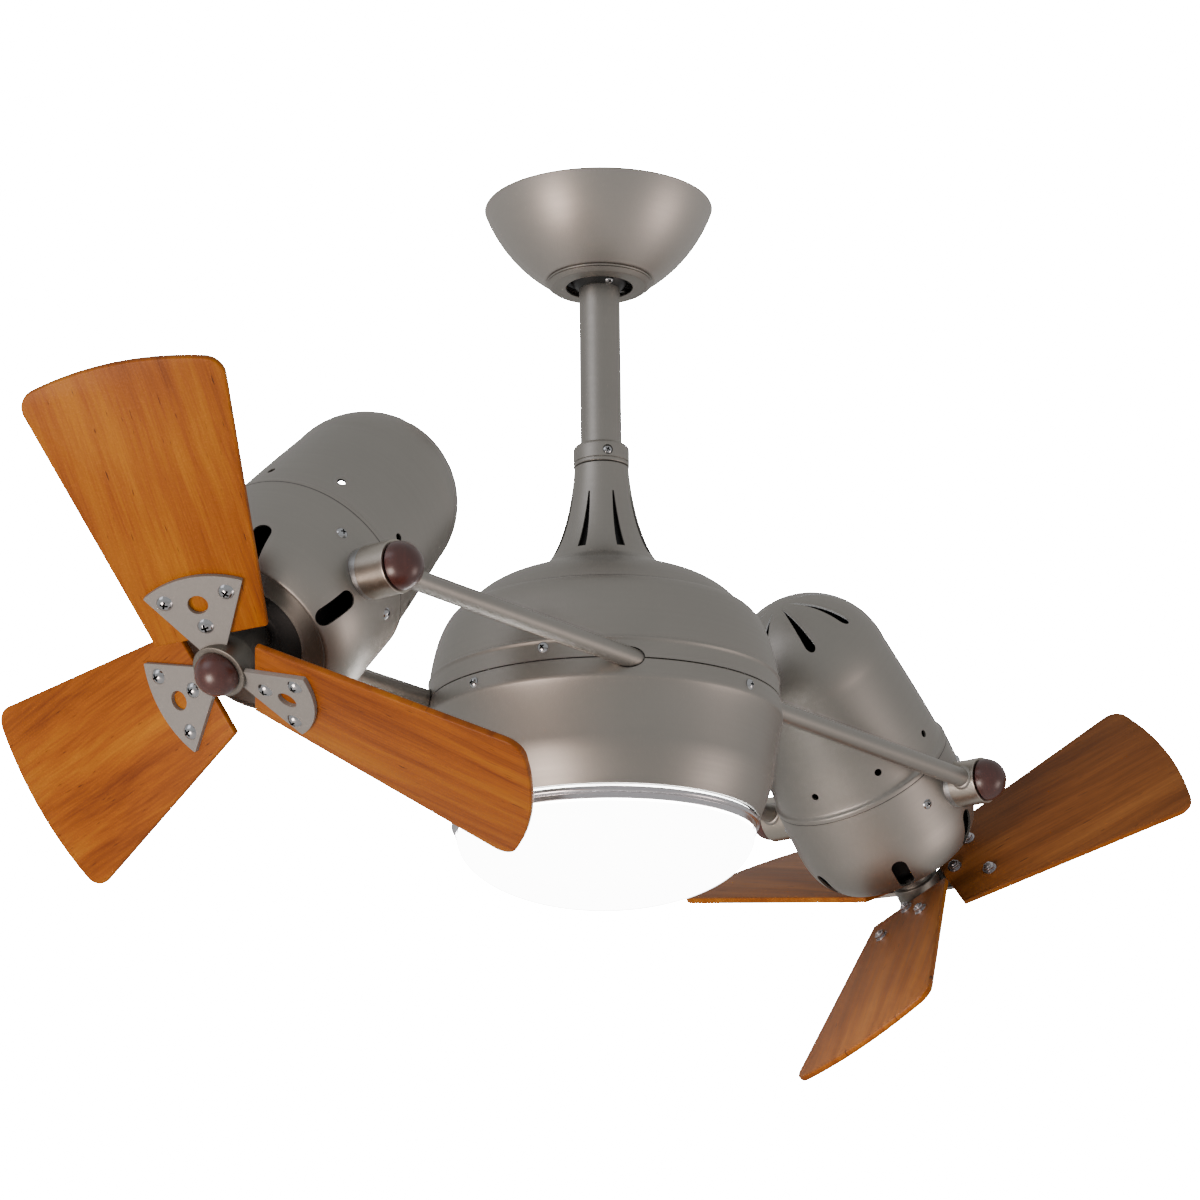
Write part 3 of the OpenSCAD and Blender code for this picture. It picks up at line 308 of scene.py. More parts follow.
def moulded(name, colour, roughness, grain_mm=0.4, bump=0.15, spread=0.12):
    """A cast or moulded skin of one material: a fine grain in tone, gloss and relief."""
    made, tree, shader = new_finish(name)
    solid = add(tree, "ShaderNodeTexCoord").outputs["Object"]
    grain = noise(tree, solid, 1 / (grain_mm * MM) / 3, 3.0)
    base = hex_colour(colour)
    low = [c * (1 - spread) for c in base[:3]] + [1]
    high = [min(1, c * (1 + spread)) for c in base[:3]] + [1]
    surface(tree, shader, between(tree, grain, low, high), grain, (roughness - 0.06, roughness + 0.06),
            grain, bump, 0.0002)
    return made


def plated(name, colour, roughness, grain_mm=0.5):
    """A moulded or turned metal skin, with the same fine grain."""
    made = moulded(name, colour, roughness, grain_mm, 0.08, 0.08)
    made.node_tree.nodes["Principled BSDF"].inputs["Metallic"].default_value = 1.0
    return made


rubber = moulded("black rubber", "1b1b1b", 0.7)
zinc = plated("zinc plated steel", "b3b5b6", 0.38)
bright = plated("polished steel", "b4b5b8", 0.17)


def coat(mesh, *finishes):
    """Gives a mesh these materials and no others."""
    mesh.materials.clear()
    for finish in finishes:
        mesh.materials.append(finish)


def stands_for(made, body, finish, node):
    """Gives a finished piece its material, if it has none yet, and its body, and hides the CAD node that it
    stands for.
    """
    if finish:
        coat(made.data, finish)
    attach(made, body)
    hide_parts(node)


def keep_nodes(finishes):
    """CAD nodes that stay as they are, each with its material."""
    for name, finish in finishes.items():
        coat(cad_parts[name].data, finish)


# Painted shade: near black drawn on the inner and hidden faces of the spun sheets, where only shade falls.
painted_shade_black = moulded("black coat inside the shells", "0b0b0c", 0.6)


def lined(made, skin, inner_shade, looks_in):
    """A spun sheet with one finish outside and another, painted shade, inside; looks_in tests a face's radius
    and height in mm, and how far it faces away from the axis and up."""
    coat(made.data, skin, inner_shade)
    for face in made.data.polygons:
        across = Vector((face.center.x, face.center.y, 0))
        outwards = face.normal.dot(across.normalized()) if across.length else 0
        inside = looks_in(across.length / MM, face.center.z / MM, outwards, face.normal.z)
        face.material_index = 1 if inside else 0


CANOPY_R, CANOPY_FOOT_R, CANOPY_H, CANOPY_BULGE = 75, 36.5, 50.3, 103
GASKET_T, SHEET = 0.8, 1.5
OPENING_R, TRIM_R, TRIM_H, TRIM_SHEET = 21.9, 34.5, 4.7, 1.2
canopy_hole = OPENING_R + 1.6
canopy_side = bulge((CANOPY_R, -GASKET_T), (CANOPY_FOOT_R + 0.8, -CANOPY_H + 1), CANOPY_BULGE, 40)
canopy_outline = (
    canopy_side
    + [(CANOPY_FOOT_R - 0.6, -CANOPY_H, 1.0), (canopy_hole, -CANOPY_H, 0.4),
       (canopy_hole, -CANOPY_H + SHEET, 0.4)]
    + within(canopy_side, SHEET)[::-1]
)
canopy = spun("canopy", eased(canopy_outline))
# Painted light: the canopy's satin nickel is the housing's plate drawn lighter, for the brighter light that
# falls on it.
canopy_nickel_painted_light = satin_nickel("satin nickel plate of the canopy", "bdb8b2", "a8a49e", 0.44)
# Its inner faces are drawn black as painted shade.
lined(canopy, canopy_nickel_painted_light, painted_shade_black, lambda r, z, outwards, upwards: outwards < -0.1 or upwards > 0.1)
stands_for(canopy, "ceiling_mount", None, "canopy")

gasket = spun("canopy_gasket_ring", eased([(CANOPY_R - 0.4, 0, 0.3), (CANOPY_R - 0.4, -GASKET_T, 0.3),
                                           (CANOPY_R - 5, -GASKET_T, 0.3), (CANOPY_R - 5, 0, 0.3)]))
stands_for(gasket, "ceiling_mount", rubber, "canopy_gasket")

trim_foot = -CANOPY_H - TRIM_H
trim_outline = (
    [(TRIM_R - 0.6, -CANOPY_H - 0.05)] + arc((TRIM_R - 0.8, -CANOPY_H - 0.8), 0.8, pi / 3, -pi / 3, 10)
    + [(TRIM_R - 1.1, -CANOPY_H - 1.6, 0.2), (TRIM_R - 0.3, -CANOPY_H - 2.3, 0.4),
       (TRIM_R - 3.4, trim_foot, 0.8), (OPENING_R, trim_foot, 0.5),
       (OPENING_R, trim_foot + TRIM_SHEET, 0.4), (TRIM_R - 3.4, trim_foot + TRIM_SHEET),
       (TRIM_R - TRIM_SHEET - 1, -CANOPY_H - 2),
       (TRIM_R - TRIM_SHEET - 1, -CANOPY_H - 0.05)]
)
trim_ring = spun("canopy_trim", eased(trim_outline))
stands_for(trim_ring, "ceiling_mount", nickel, "canopy_trim_ring")

keep_nodes({"hanger_bracket": zinc, "canopy_screws": zinc})


# ---------------------------------------------------------------------------
# Hanger and downrod: a nylon ball on a 3/4 inch steel tube, a shiny ground
# screw in the ball, and a turned coupling with two set screws below.
def applied(made):
    """Keeps what a piece's modifiers make of it as its own plain mesh."""
    mesh = bpy.data.meshes.new_from_object(made.evaluated_get(bpy.context.evaluated_depsgraph_get()))
    old = made.data
    made.modifiers.clear()
    made.data = mesh
    bpy.data.meshes.remove(old)
    mesh.name = made.name


def cut_by(target, cutter):
    """Takes the cutter's shape out of the target and removes the cutter."""
    step = target.modifiers.new("cut", "BOOLEAN")
    step.operation = "DIFFERENCE"
    step.solver = "MANIFOLD"
    step.object = cutter
    applied(target)
    bpy.data.objects.remove(cutter)


def drill(target, radius, low, high, steps, place):
    """Cuts a round hole along the place's own Z, from low to high, all in mm."""
    cut_by(target, spun("drill", [(0, low), (radius, low), (radius, high), (0, high)], steps, place))


def slab(name, outline, low, high, place=None):
    """A flat piece of this outline between two heights, all in mm, before place moves it."""
    count = len(outline)
    verts = [(x * MM, y * MM, low * MM) for x, y in outline]
    verts += [(x * MM, y * MM, high * MM) for x, y in outline]
    faces = [list(range(count))[::-1], list(range(count, 2 * count))]
    faces += [[i, (i + 1) % count, count + (i + 1) % count, count + i] for i in range(count)]
    mesh = mesh_of(name, verts, faces)
    if place:
        mesh.transform(place)
    shape = bmesh.new()
    shape.from_mesh(mesh)
    bmesh.ops.recalc_face_normals(shape, faces=shape.faces)
    shape.to_mesh(mesh)
    shape.free()
    return in_scene(name, mesh)


def moved_by(x, y, z):
    """A move, given in mm."""
    return Matrix.Translation((x * MM, y * MM, z * MM))


def turned_by(angle, axis):
    """A turn about one of the axes, in radians."""
    return Matrix.Rotation(angle, 4, axis)


def screw_head(name, radius, height, slot_r):
    """A pan head with a pressed cross recess, standing on z = 0, in mm."""
    ball = (radius * radius + height * height) / (2 * height)
    rise = asin(min(1, radius / ball))
    outline = [(0, -1.0), (radius * 0.5, -1.0), (radius * 0.5, 0)]
    outline += [(radius, 0)] + arc((0, height - ball), ball, pi / 2 - rise * 0.93, pi / 2, 7)
    outline[-1] = (0, height)
    head = spun(name, outline, 28)
    half = slot_r * 0.14
    for turn in (0, pi / 2):
        wedge = slab("recess", [(-slot_r, -half), (slot_r, -half), (slot_r, half), (-slot_r, half)],
                     height * 0.35, 2 * height)
        for v in wedge.data.vertices:
            if v.co.z < height * MM:
                v.co.x *= 0.35
        wedge.data.transform(turned_by(turn, "Z"))
        cut_by(head, wedge)
    sunk = head.data.attributes.new("sunk", "BOOLEAN", "FACE")
    middle = Vector((0, 0, (height - ball) * MM))
    sunk.data.foreach_set("value", [face.center.z > 0.2 * height * MM and (face.center - middle).length
                                    < (ball - 0.12) * MM for face in head.data.polygons])
    finished(head.data, 40)
    return head


def new_tree(name, sockets):
    """An empty Geometry Nodes tree with these inputs, given as (name, type, value) or (name, type)."""
    tree = bpy.data.node_groups.new(name, "GeometryNodeTree")
    for label, kind, *value in sockets:
        made = tree.interface.new_socket(name=label, in_out="INPUT", socket_type=f"NodeSocket{kind}")
        if value:
            made.default_value = value[0]
    tree.interface.new_socket(name="Pieces", in_out="OUTPUT", socket_type="NodeSocketGeometry")
    return tree, add(tree, "NodeGroupInput").outputs


def close_tree(tree, placed, finish):
    """Ends a tree: instances made real, in one material."""
    real = add(tree, "GeometryNodeRealizeInstances", {0: placed.outputs[0]})
    dressed = add(tree, "GeometryNodeSetMaterial", {0: real.outputs[0], "Material": finish})
    add(tree, "NodeGroupOutput", {0: dressed.outputs[0]})


def fastening_tree():
    """Geometry Nodes: one fastener on every given point, turned as the point's "facing" says and by a
    random part of a turn about its own shank, at one size and in one material."""
    tree, inlet = new_tree("fasteners", (
        ("Points", "Geometry"), ("Fastener", "Object"), ("Size", "Float", 1.0), ("Seed", "Int", 7),
        ("Finish", "Material")))
    shape = add(tree, "GeometryNodeObjectInfo", {"Object": inlet["Fastener"]})
    facing = add(tree, "GeometryNodeInputNamedAttribute", {"Name": "facing"}, data_type="FLOAT_VECTOR")
    spin = add(tree, "FunctionNodeRandomValue", {2: 0.0, 3: pi / 2, "Seed": inlet["Seed"]},
               data_type="FLOAT")
    about = add(tree, "ShaderNodeCombineXYZ", {"Z": spin.outputs[1]})
    turned = add(tree, "FunctionNodeRotateEuler",
                 {"Rotation": facing.outputs[0], "Rotate By": about.outputs[0]}, space="LOCAL")
    placed = add(tree, "GeometryNodeInstanceOnPoints",
                 {"Points": inlet["Points"], "Instance": shape.outputs["Geometry"],
                  "Rotation": turned.outputs[0], "Scale": inlet["Size"]})
    close_tree(tree, placed, inlet["Finish"])
    return tree


fasteners = fastening_tree()
recess_steel = plated("steel in the shade of a recess", "161616", 0.6)


def made_plain(name, tree, base, settings):
    """Runs a Geometry Nodes tree on a base mesh and keeps the result as a plain piece."""
    made = in_scene(name, base)
    step = made.modifiers.new("nodes", "NODES")
    step.node_group = tree
    for item in tree.interface.items_tree:
        if item.in_out == "INPUT" and item.name in settings:
            step[item.identifier] = settings[item.name]
    applied(made)
    return made


def fastened(name, fastener, places, finish, size=1.0):
    """A fastener at every place, with its recess in shade; a place is a matrix whose Z points out of
    the surface."""
    base = mesh_of("places", [p.translation for p in places])
    turns = base.attributes.new("facing", "FLOAT_VECTOR", "POINT")
    turns.data.foreach_set("vector", [x for p in places for x in p.to_euler()])
    made = made_plain(name, fasteners, base, {"Fastener": fastener, "Size": size, "Finish": finish})
    sunk = made.data.attributes.get("sunk")
    marks = [int(mark.value) for mark in sunk.data] if sunk else [0] * len(made.data.polygons)
    coat(made.data, *((finish, recess_steel) if sunk else (finish,)))
    made.data.polygons.foreach_set("material_index", marks)
    finished(made.data, 40)
    return made


def facing_out(angle, r, z, frame_matrix=Matrix()):
    """A place on a circle round Z: angle in degrees, r and z in mm, with Z pointing outwards."""
    return frame_matrix @ turned_by(radians(angle), "Z") @ moved_by(r, 0, z) @ turned_by(pi / 2, "Y")


nylon = moulded("black nylon", "121214", 0.42)
BALL_R, BALL_DROP, BALL_TOP = 22, 39, 12
ROD_R, ROD_WALL = 13.35, 2.2
ball_low = -sqrt(BALL_R**2 - (ROD_R + 0.1) ** 2)
ball_outline = arc((0, -BALL_DROP), BALL_R, asin(ball_low / BALL_R), asin(BALL_TOP / BALL_R), 30)
ball_outline += [(ROD_R + 0.1, -BALL_DROP + BALL_TOP, 0.6)]
ball = spun("hanger_ball_nylon", eased(ball_outline), 96)
stands_for(ball, "downrod", nylon, "hanger_ball")

coupling_top, coupling_r, coupling_h = -165, 18.1, 14.5
rod_foot = coupling_top - 9
rod_top = -BALL_DROP + 18
rod = spun("downrod_tube", eased([(ROD_R, rod_top, 0.5), (ROD_R, rod_foot), (ROD_R - ROD_WALL, rod_foot),
                                  (ROD_R - ROD_WALL, rod_top, 0.5)]), 96)
stands_for(rod, "downrod", nickel, "downrod")

coupling_foot = coupling_top - coupling_h
coupling_outline = eased(
    [(ROD_R + 0.1, coupling_top)] + arc((coupling_r - 3, coupling_top - 3), 3, pi / 2, 0, 12)
    + [(coupling_r, coupling_foot + 3.1, 0.2), (coupling_r - 0.5, coupling_foot + 2.8),
       (coupling_r - 0.5, coupling_foot + 2.5), (coupling_r, coupling_foot + 2.2, 0.2)]
    + arc((coupling_r - 0.8, coupling_foot + 0.8), 0.8, 0, -pi / 2, 6)
    + [(8.1, coupling_foot), (8.1, rod_foot), (ROD_R + 0.1, rod_foot)]
)
coupling = spun("rod_coupling_turned", coupling_outline, 96)
SET_ANGLE, SET_R = -129.8, 3.3
for turn in (0, 180):
    drill(coupling, SET_R, 0, 8, 32,
          facing_out(SET_ANGLE + turn, ROD_R - 0.2, coupling_top - coupling_h / 2))
finished(coupling.data)
stands_for(coupling, "downrod", nickel, "rod_coupling")

pan_head = screw_head("pan head", 3.6, 2.0, 3.2)
set_places = [facing_out(SET_ANGLE + turn, coupling_r - 0.9, coupling_top - coupling_h / 2)
              for turn in (0, 180)]
set_screws = fastened("coupling_set_screws", pan_head, set_places, bright, 0.88)
stands_for(set_screws, "downrod", None, "coupling_screws")

GROUND_ANGLE, GROUND_DIP = radians(-118.2), radians(45)
ground_place = (moved_by(0, 0, -BALL_DROP) @ turned_by(GROUND_ANGLE, "Z")
                @ turned_by(pi / 2 + GROUND_DIP, "Y") @ moved_by(0, 0, BALL_R))
ground = fastened("ground_screw_head", pan_head, [ground_place], bright, 0.78)
stands_for(ground, "downrod", None, "ground_screw")

brass = plated("turned brass", "c9a25a", 0.3)
blued = plated("blued steel", "26272b", 0.45)
keep_nodes({"ball_pin": zinc, "spindle": blued, "slip_ring": brass})


# ---------------------------------------------------------------------------
# Neck cap: spun into a trumpet and pierced with eight tapered slots, with a
# black liner behind them. It drops into the upper housing.
def around_tree():
    """Geometry Nodes: copies of a piece turned round the Z axis in even steps from a first angle."""
    tree, inlet = new_tree("round the axis", (
        ("Base", "Geometry"), ("Piece", "Object"), ("Count", "Int", 8), ("First angle", "Float"),
        ("Finish", "Material")))
    spots = add(tree, "GeometryNodeMeshLine", {"Count": inlet["Count"], "Offset": (0.0, 0.0, 0.0)})
    shape = add(tree, "GeometryNodeObjectInfo", {"Object": inlet["Piece"]})
    index = add(tree, "GeometryNodeInputIndex")
    step = add(tree, "ShaderNodeMath", {0: 2 * pi, 1: inlet["Count"]}, operation="DIVIDE")
    angle = add(tree, "ShaderNodeMath", {0: index.outputs[0], 1: step.outputs[0], 2: inlet["First angle"]},
                operation="MULTIPLY_ADD")
    turn = add(tree, "ShaderNodeCombineXYZ", {"Z": angle.outputs[0]})
    placed = add(tree, "GeometryNodeInstanceOnPoints",
                 {"Points": spots.outputs[0], "Instance": shape.outputs["Geometry"],
                  "Rotation": turn.outputs[0]})
    close_tree(tree, placed, inlet["Finish"])
    return tree


around = around_tree()


def repeated(name, piece, count, first=0.0):
    """Copies of a piece in even steps round Z; first is in degrees. The piece itself is removed."""
    made = made_plain(name, around, bpy.data.meshes.new("base"),
                      {"Piece": piece, "Count": count, "First angle": radians(first)})
    bpy.data.objects.remove(piece)
    return made


def joined(name, parts):
    """Several objects as one."""
    with bpy.context.temp_override(active_object=parts[0], selected_editable_objects=parts):
        bpy.ops.object.join()
    parts[0].name = name
    parts[0].data.name = name
    return parts[0]


NECK_R, NECK_TOP, NECK_H, CAP_R = 17.6, -180.1, 99.3, 91
CAP_Z = NECK_TOP - NECK_H
CREASE = (37.6, CAP_Z + 32.1)
neck_side = curve((NECK_R, NECK_TOP), (NECK_R + 1.6, NECK_TOP - 23),
                  (CREASE[0] - 12.2, CREASE[1] + 13.2), CREASE, 48)
neck_side += curve((CREASE[0] + 0.6, CREASE[1] - 0.4), (CREASE[0] + 17.2, CREASE[1] - 11.5),
                   (CAP_R - 17.4, CAP_Z + 22.9), (CAP_R, CAP_Z + 0.1), 40)
neck_outline = sheet_of(neck_side, SHEET)
neck_outline[0] = (NECK_R, NECK_TOP, 0.5)
neck_outline[-1] = (NECK_R - SHEET, NECK_TOP, 0.5)
neck = spun("neck_cap_spun", eased(neck_outline), 176)
# The neck's inner faces are drawn black as painted shade.
lined(neck, nickel, painted_shade_black, lambda r, z, outwards, upwards: outwards < 0 and upwards < 0.3)
NECK_SLOTS, SLOT_L, SLOT_W, SLOT_TIP, SLOT_ANGLE = 8, 40.8, 5.6, 1, 12.8
SHADE_SHEET_IN, SHADE_SHEET_T, SHADE_SHEET_BELOW, SHADE_SHEET_ABOVE = 4, 0.6, 12, 10
slot_top = NECK_TOP - 20.4
slot_outline = eased([(-SLOT_W / 2, slot_top - SLOT_L, 0.7), (SLOT_W / 2, slot_top - SLOT_L, 0.7),
                      (SLOT_TIP / 2, slot_top, 0.3), (-SLOT_TIP / 2, slot_top, 0.3)])
stand_up = Matrix(((0, 0, 1, 0), (1, 0, 0, 0), (0, 1, 0, 0), (0, 0, 0, 1)))
neck_slot = slab("neck slot", slot_outline, 4, CAP_R, stand_up)
cut_by(neck, repeated("neck slots", neck_slot, NECK_SLOTS, SLOT_ANGLE))
# Painted shade: a thin black sheet 4 mm inside the neck, behind the slots, so that the slots look dark.
behind = [p for p in within(neck_side, SHADE_SHEET_IN)
          if slot_top - SLOT_L - SHADE_SHEET_BELOW < p[1] < slot_top + SHADE_SHEET_ABOVE]
shade_sheet = spun("neck liner", sheet_of(behind, SHADE_SHEET_T), 96)
shade_sheet.data.materials.append(painted_shade_black)
neck = joined("neck_cap_spun", [neck, shade_sheet])
finished(neck.data)
stands_for(neck, "carrier", None, "neck_cap")


# ---------------------------------------------------------------------------
# Housing: two spun bowls that meet at the arms. The upper one has a rolled
# bead above the seam, the lower one a rounded fold below it, and pan head
# screws hold them beside the seam.
SEAM_R, SEAM_Z, LOWER_H, LOWER_R = 112.5, -338.8, 77.4, 97.6
FOOT_Z = SEAM_Z - LOWER_H
RIDGE_Z, FOLD_Z, BAND_R = SEAM_Z + 13.8, SEAM_Z - 10.2, SEAM_R - 0.7
ARM_R, ARM_Y = 6.35, 78.6
step_in = SEAM_R - CAP_R
upper_side = curve((CAP_R, CAP_Z - 0.3), (CAP_R + 0.47 * step_in, CAP_Z - 0.5),
                   (CAP_R + 0.84 * step_in, CAP_Z - 23.6), (SEAM_R - 0.9, RIDGE_Z + 0.4), 40)
upper_side += [(SEAM_R - 0.4, RIDGE_Z + 0.1), (SEAM_R - 0.1, RIDGE_Z - 0.5), (SEAM_R - 0.2, RIDGE_Z - 1.4),
               (BAND_R, RIDGE_Z - 2.2), (BAND_R, RIDGE_Z - 3.4), (BAND_R + 0.2, SEAM_Z + 4),
               (SEAM_R - 0.1, SEAM_Z + 0.45), (SEAM_R - 0.45, SEAM_Z + 0.35)]
step_in = SEAM_R - LOWER_R
lower_side = [(SEAM_R - 0.45, SEAM_Z - 0.35), (SEAM_R, SEAM_Z - 0.45), (SEAM_R + 0.6, SEAM_Z - 5),
              (SEAM_R + 1.1, FOLD_Z), (SEAM_R + 1.05, FOLD_Z - 1.1)]
lower_side += curve((SEAM_R + 0.9, FOLD_Z - 2.2), (SEAM_R - 0.03 * step_in, FOLD_Z - 5.5),
                    (SEAM_R - 0.2 * step_in, FOLD_Z - 17), (SEAM_R - 0.39 * step_in, FOLD_Z - 39.8), 30)
lower_side += curve((SEAM_R - 0.46 * step_in, FOLD_Z - 44), (SEAM_R - 0.66 * step_in, FOLD_Z - 54),
                    (SEAM_R - 0.88 * step_in, FOOT_Z + 7), (LOWER_R, FOOT_Z + 1.5), 14)

upper = spun("upper_housing_spun", sheet_of(upper_side, SHEET), 200)
lower = spun("lower_housing_spun", sheet_of(lower_side, SHEET), 200)
ARM_PLAY = 0.7
for shell in (upper, lower):
    for y in (-ARM_Y, ARM_Y):
        drill(shell, ARM_R + ARM_PLAY, 0, 400, 48, moved_by(-200, y, SEAM_Z) @ turned_by(pi / 2, "Y"))
    finished(shell.data, 40)
stands_for(upper, "carrier", nickel, "upper_housing")
stands_for(lower, "carrier", nickel, "lower_housing")

ABOVE_SEAM, BELOW_SEAM = (17, 197), (-14, 90, 171, 270)
housing_places = [facing_out(a, BAND_R + 0.2, SEAM_Z + 8.4) for a in ABOVE_SEAM]
housing_places += [facing_out(a, SEAM_R + 0.9, SEAM_Z - 6.2) for a in BELOW_SEAM]
housing_screws = fastened("housing_pan_screws", pan_head, housing_places, bright)
stands_for(housing_screws, "carrier", None, "housing_screws")

alloy = plated("die cast alloy", "a9a9a7", 0.5, 1.2)
keep_nodes({"centre_frame": alloy, "upper_bearing": zinc, "lower_bearing": zinc, "brush_block": nylon})


# ---------------------------------------------------------------------------
# Light: a polished ring rolled under the housing carries a bowl of opal
# glass, with the lamp behind it switched on.
polished = plated("polished nickel", "cfccd0", 0.24)
GLASS_R, GLASS_H, GLASS_WALL, FLANGE_T = 94.4, 43, 2.8, 2
RING_FOOT = FOOT_Z - 7.8
SEAT_R = GLASS_R + 0.3
ring_outline = eased(
    [(LOWER_R - 2.5, FOOT_Z)] + arc((LOWER_R - 1.9, FOOT_Z - 2), 1.9, radians(75), radians(-75), 16)
    + [(SEAT_R + 0.9, FOOT_Z - 4.2, 0.3), (SEAT_R + 0.8, RING_FOOT + 0.4, 0.3),
       (SEAT_R + 0.3, RING_FOOT, 0.3), (SEAT_R, RING_FOOT + 0.6), (SEAT_R, FOOT_Z)]
)
ring = spun("glass_ring_rolled", ring_outline, 200)
stands_for(ring, "carrier", polished, "glass_ring")

RIM_Z = RING_FOOT - 1
glass_neck_r = GLASS_R - 3.8
neck_inside = glass_neck_r - 2.4
flange_z = FOOT_Z - 1


def bowl_side(radius, height):
    """A quarter of an ellipse from the rim almost to the pole."""
    return [(radius * cos(pi / 2 * i / 40), RIM_Z - height * sin(pi / 2 * i / 40)) for i in range(40)]


hollow_side = [p for p in bowl_side(GLASS_R - GLASS_WALL, GLASS_H - GLASS_WALL) if p[0] < neck_inside]
glass_outline = (
    [(neck_inside, flange_z), (GLASS_R - 1.2, flange_z, 0.5), (GLASS_R - 1.2, flange_z - FLANGE_T, 0.5),
     (glass_neck_r, flange_z - FLANGE_T, 0.4), (glass_neck_r, RIM_Z + 1.2, 0.6)]
    + bowl_side(GLASS_R, GLASS_H) + [(0, RIM_Z - GLASS_H), (0, RIM_Z - GLASS_H + GLASS_WALL)]
    + hollow_side[::-1] + [(neck_inside, RIM_Z - 3)]
)
bowl = spun("glass_bowl_opal", eased(glass_outline), 176)


def opal_glass():
    """Opal glass, blown and acid etched outside: it glows from the lamp, its glow drawn grey towards the
    outline as painted shade, and it has a soft gloss.
    """
    made, tree, shader = new_finish("opal glass")
    haze = noise(tree, add(tree, "ShaderNodeTexCoord").outputs["Object"], 14.0, 3.0)
    tone = between(tree, haze, hex_colour("f6f5f1"), hex_colour("fdfdfb"))
    gloss = add(tree, "ShaderNodeMapRange", {"Value": haze, "To Min": 0.24, "To Max": 0.34})
    tree.links.new(tone, shader.inputs["Base Color"])
    tree.links.new(gloss.outputs[0], shader.inputs["Roughness"])
    # Painted shade: the glow turns dark grey where the glass turns away from the view.
    edge = add(tree, "ShaderNodeLayerWeight", {"Blend": 0.5}).outputs["Facing"]
    rim_shade = add(tree, "ShaderNodeMapRange", {"Value": edge, "From Min": 0.9, "From Max": 0.99})
    glow = between(tree, rim_shade.outputs[0], hex_colour("ffffff"), hex_colour("3c4046"))
    tree.links.new(glow, shader.inputs["Emission Color"])
    shader.inputs["Emission Strength"].default_value = 12.0
    return made


stands_for(bowl, "carrier", opal_glass(), "glass_bowl")
ceramic = moulded("glazed ceramic", "efeee9", 0.18, 1.0, 0.02, 0.02)
frosted = moulded("frosted glass", "f4f1e6", 0.5, 0.5, 0.05, 0.02)
keep_nodes({"lamp_pan": zinc, "lampholder": ceramic, "lamp": frosted})


# ---------------------------------------------------------------------------
# Arms: half inch tubes, each welded into a turned boss whose pocket a wood
# cap closes. The boss is brushed bright, with the marks round its own axis.
SIDES = ((-1, "left"), (1, "right"))
REACH, ARM_WALL, ARM_BACK = 314.5, 1.6, 12
BOSS_R, BOSS_L, BOSS_IN, POCKET_R, POCKET_L, STUD_R = 15.8, 19.95, 67.65, 9, 7.6, 6
BOSS_OUT = BOSS_IN + BOSS_L
weld_x = REACH - sqrt(BOSS_R**2 - ARM_R**2)
boss_nickel = satin_nickel("brushed nickel boss", "bcb5ab", "9f998f", 0.33, 0.35, 0.06)


def boss_place(side, end):
    """A boss's own frame: Z out along the tilt axis from the head's middle."""
    return moved_by(side * REACH, 0, SEAM_Z) @ turned_by(-end * pi / 2, "X")


def arm(side, end, name):
    """One arm: tube, weld bead and boss."""
    outwards = moved_by(0, end * ARM_Y, SEAM_Z) @ turned_by(side * pi / 2, "Y")
    far, inner_r = REACH - ARM_BACK, ARM_R - ARM_WALL
    tube = spun(name + " tube", [(ARM_R, ARM_BACK), (ARM_R, far), (inner_r, far), (inner_r, ARM_BACK)],
                64, outwards)
    bead = spun(name + " weld", eased([
        (ARM_R - 0.3, weld_x - 2.2), (ARM_R + 0.9, weld_x - 1.6, 0.5), (ARM_R + 1.7, weld_x - 0.2, 0.6),
        (ARM_R + 1.5, weld_x + 2.4), (ARM_R - 0.3, weld_x + 2.4)]), 64, outwards)
    boss = spun(name + " boss", eased([
        (STUD_R + 0.05, BOSS_IN), (BOSS_R, BOSS_IN, 0.5), (BOSS_R, BOSS_OUT, 0.6), (POCKET_R, BOSS_OUT, 0.4),
        (POCKET_R, BOSS_OUT - POCKET_L), (STUD_R + 0.05, BOSS_OUT - POCKET_L)]), 96, boss_place(side, end))
    for part, finish in ((tube, nickel), (bead, nickel), (boss, boss_nickel)):
        part.data.materials.append(finish)
    whole = joined(name + "_tube_and_boss", [tube, bead, boss])
    stands_for(whole, "carrier", None, name)


def stained_wood(name, light, dark, grain_mm):
    """Turned hardwood, stained and lacquered: dark pores drawn out along the grain under a satin coat."""
    made, tree, shader = new_finish(name)
    solid = add(tree, "ShaderNodeTexCoord").outputs["Object"]
    drawn = add(tree, "ShaderNodeMapping", {"Vector": solid, "Scale": (1, 1, 0.12)})
    fibre = noise(tree, drawn.outputs[0], 1 / (grain_mm * MM) / 3, 5.0, 0.4)
    surface(tree, shader, between(tree, fibre, hex_colour(dark), hex_colour(light)), fibre, (0.24, 0.36),
            fibre, 0.06, 0.0004)
    shader.inputs["Coat Weight"].default_value = 0.3
    shader.inputs["Coat Roughness"].default_value = 0.35
    return made


dark_wood = stained_wood("dark stained wood", "522d28", "351b19", 1.2)
WOOD_CAP_R, CAP_GAP, SPIGOT_L = 14.5, 0.6, 3.4


def wood_cap(side, end, name):
    """A turned half ball with a spigot in the boss's pocket."""
    foot, spigot_r = BOSS_OUT + CAP_GAP, POCKET_R - 0.1
    outline = [(0, BOSS_OUT - SPIGOT_L), (spigot_r, BOSS_OUT - SPIGOT_L), (spigot_r, foot)]
    outline += [(WOOD_CAP_R - 0.8, foot)] + arc((0, foot), WOOD_CAP_R, 0.06, pi / 2, 28)
    outline[-1] = (0, foot + WOOD_CAP_R)
    made = spun(name + "_turned", outline, 64, boss_place(side, end))
    stands_for(made, "carrier", dark_wood, name)


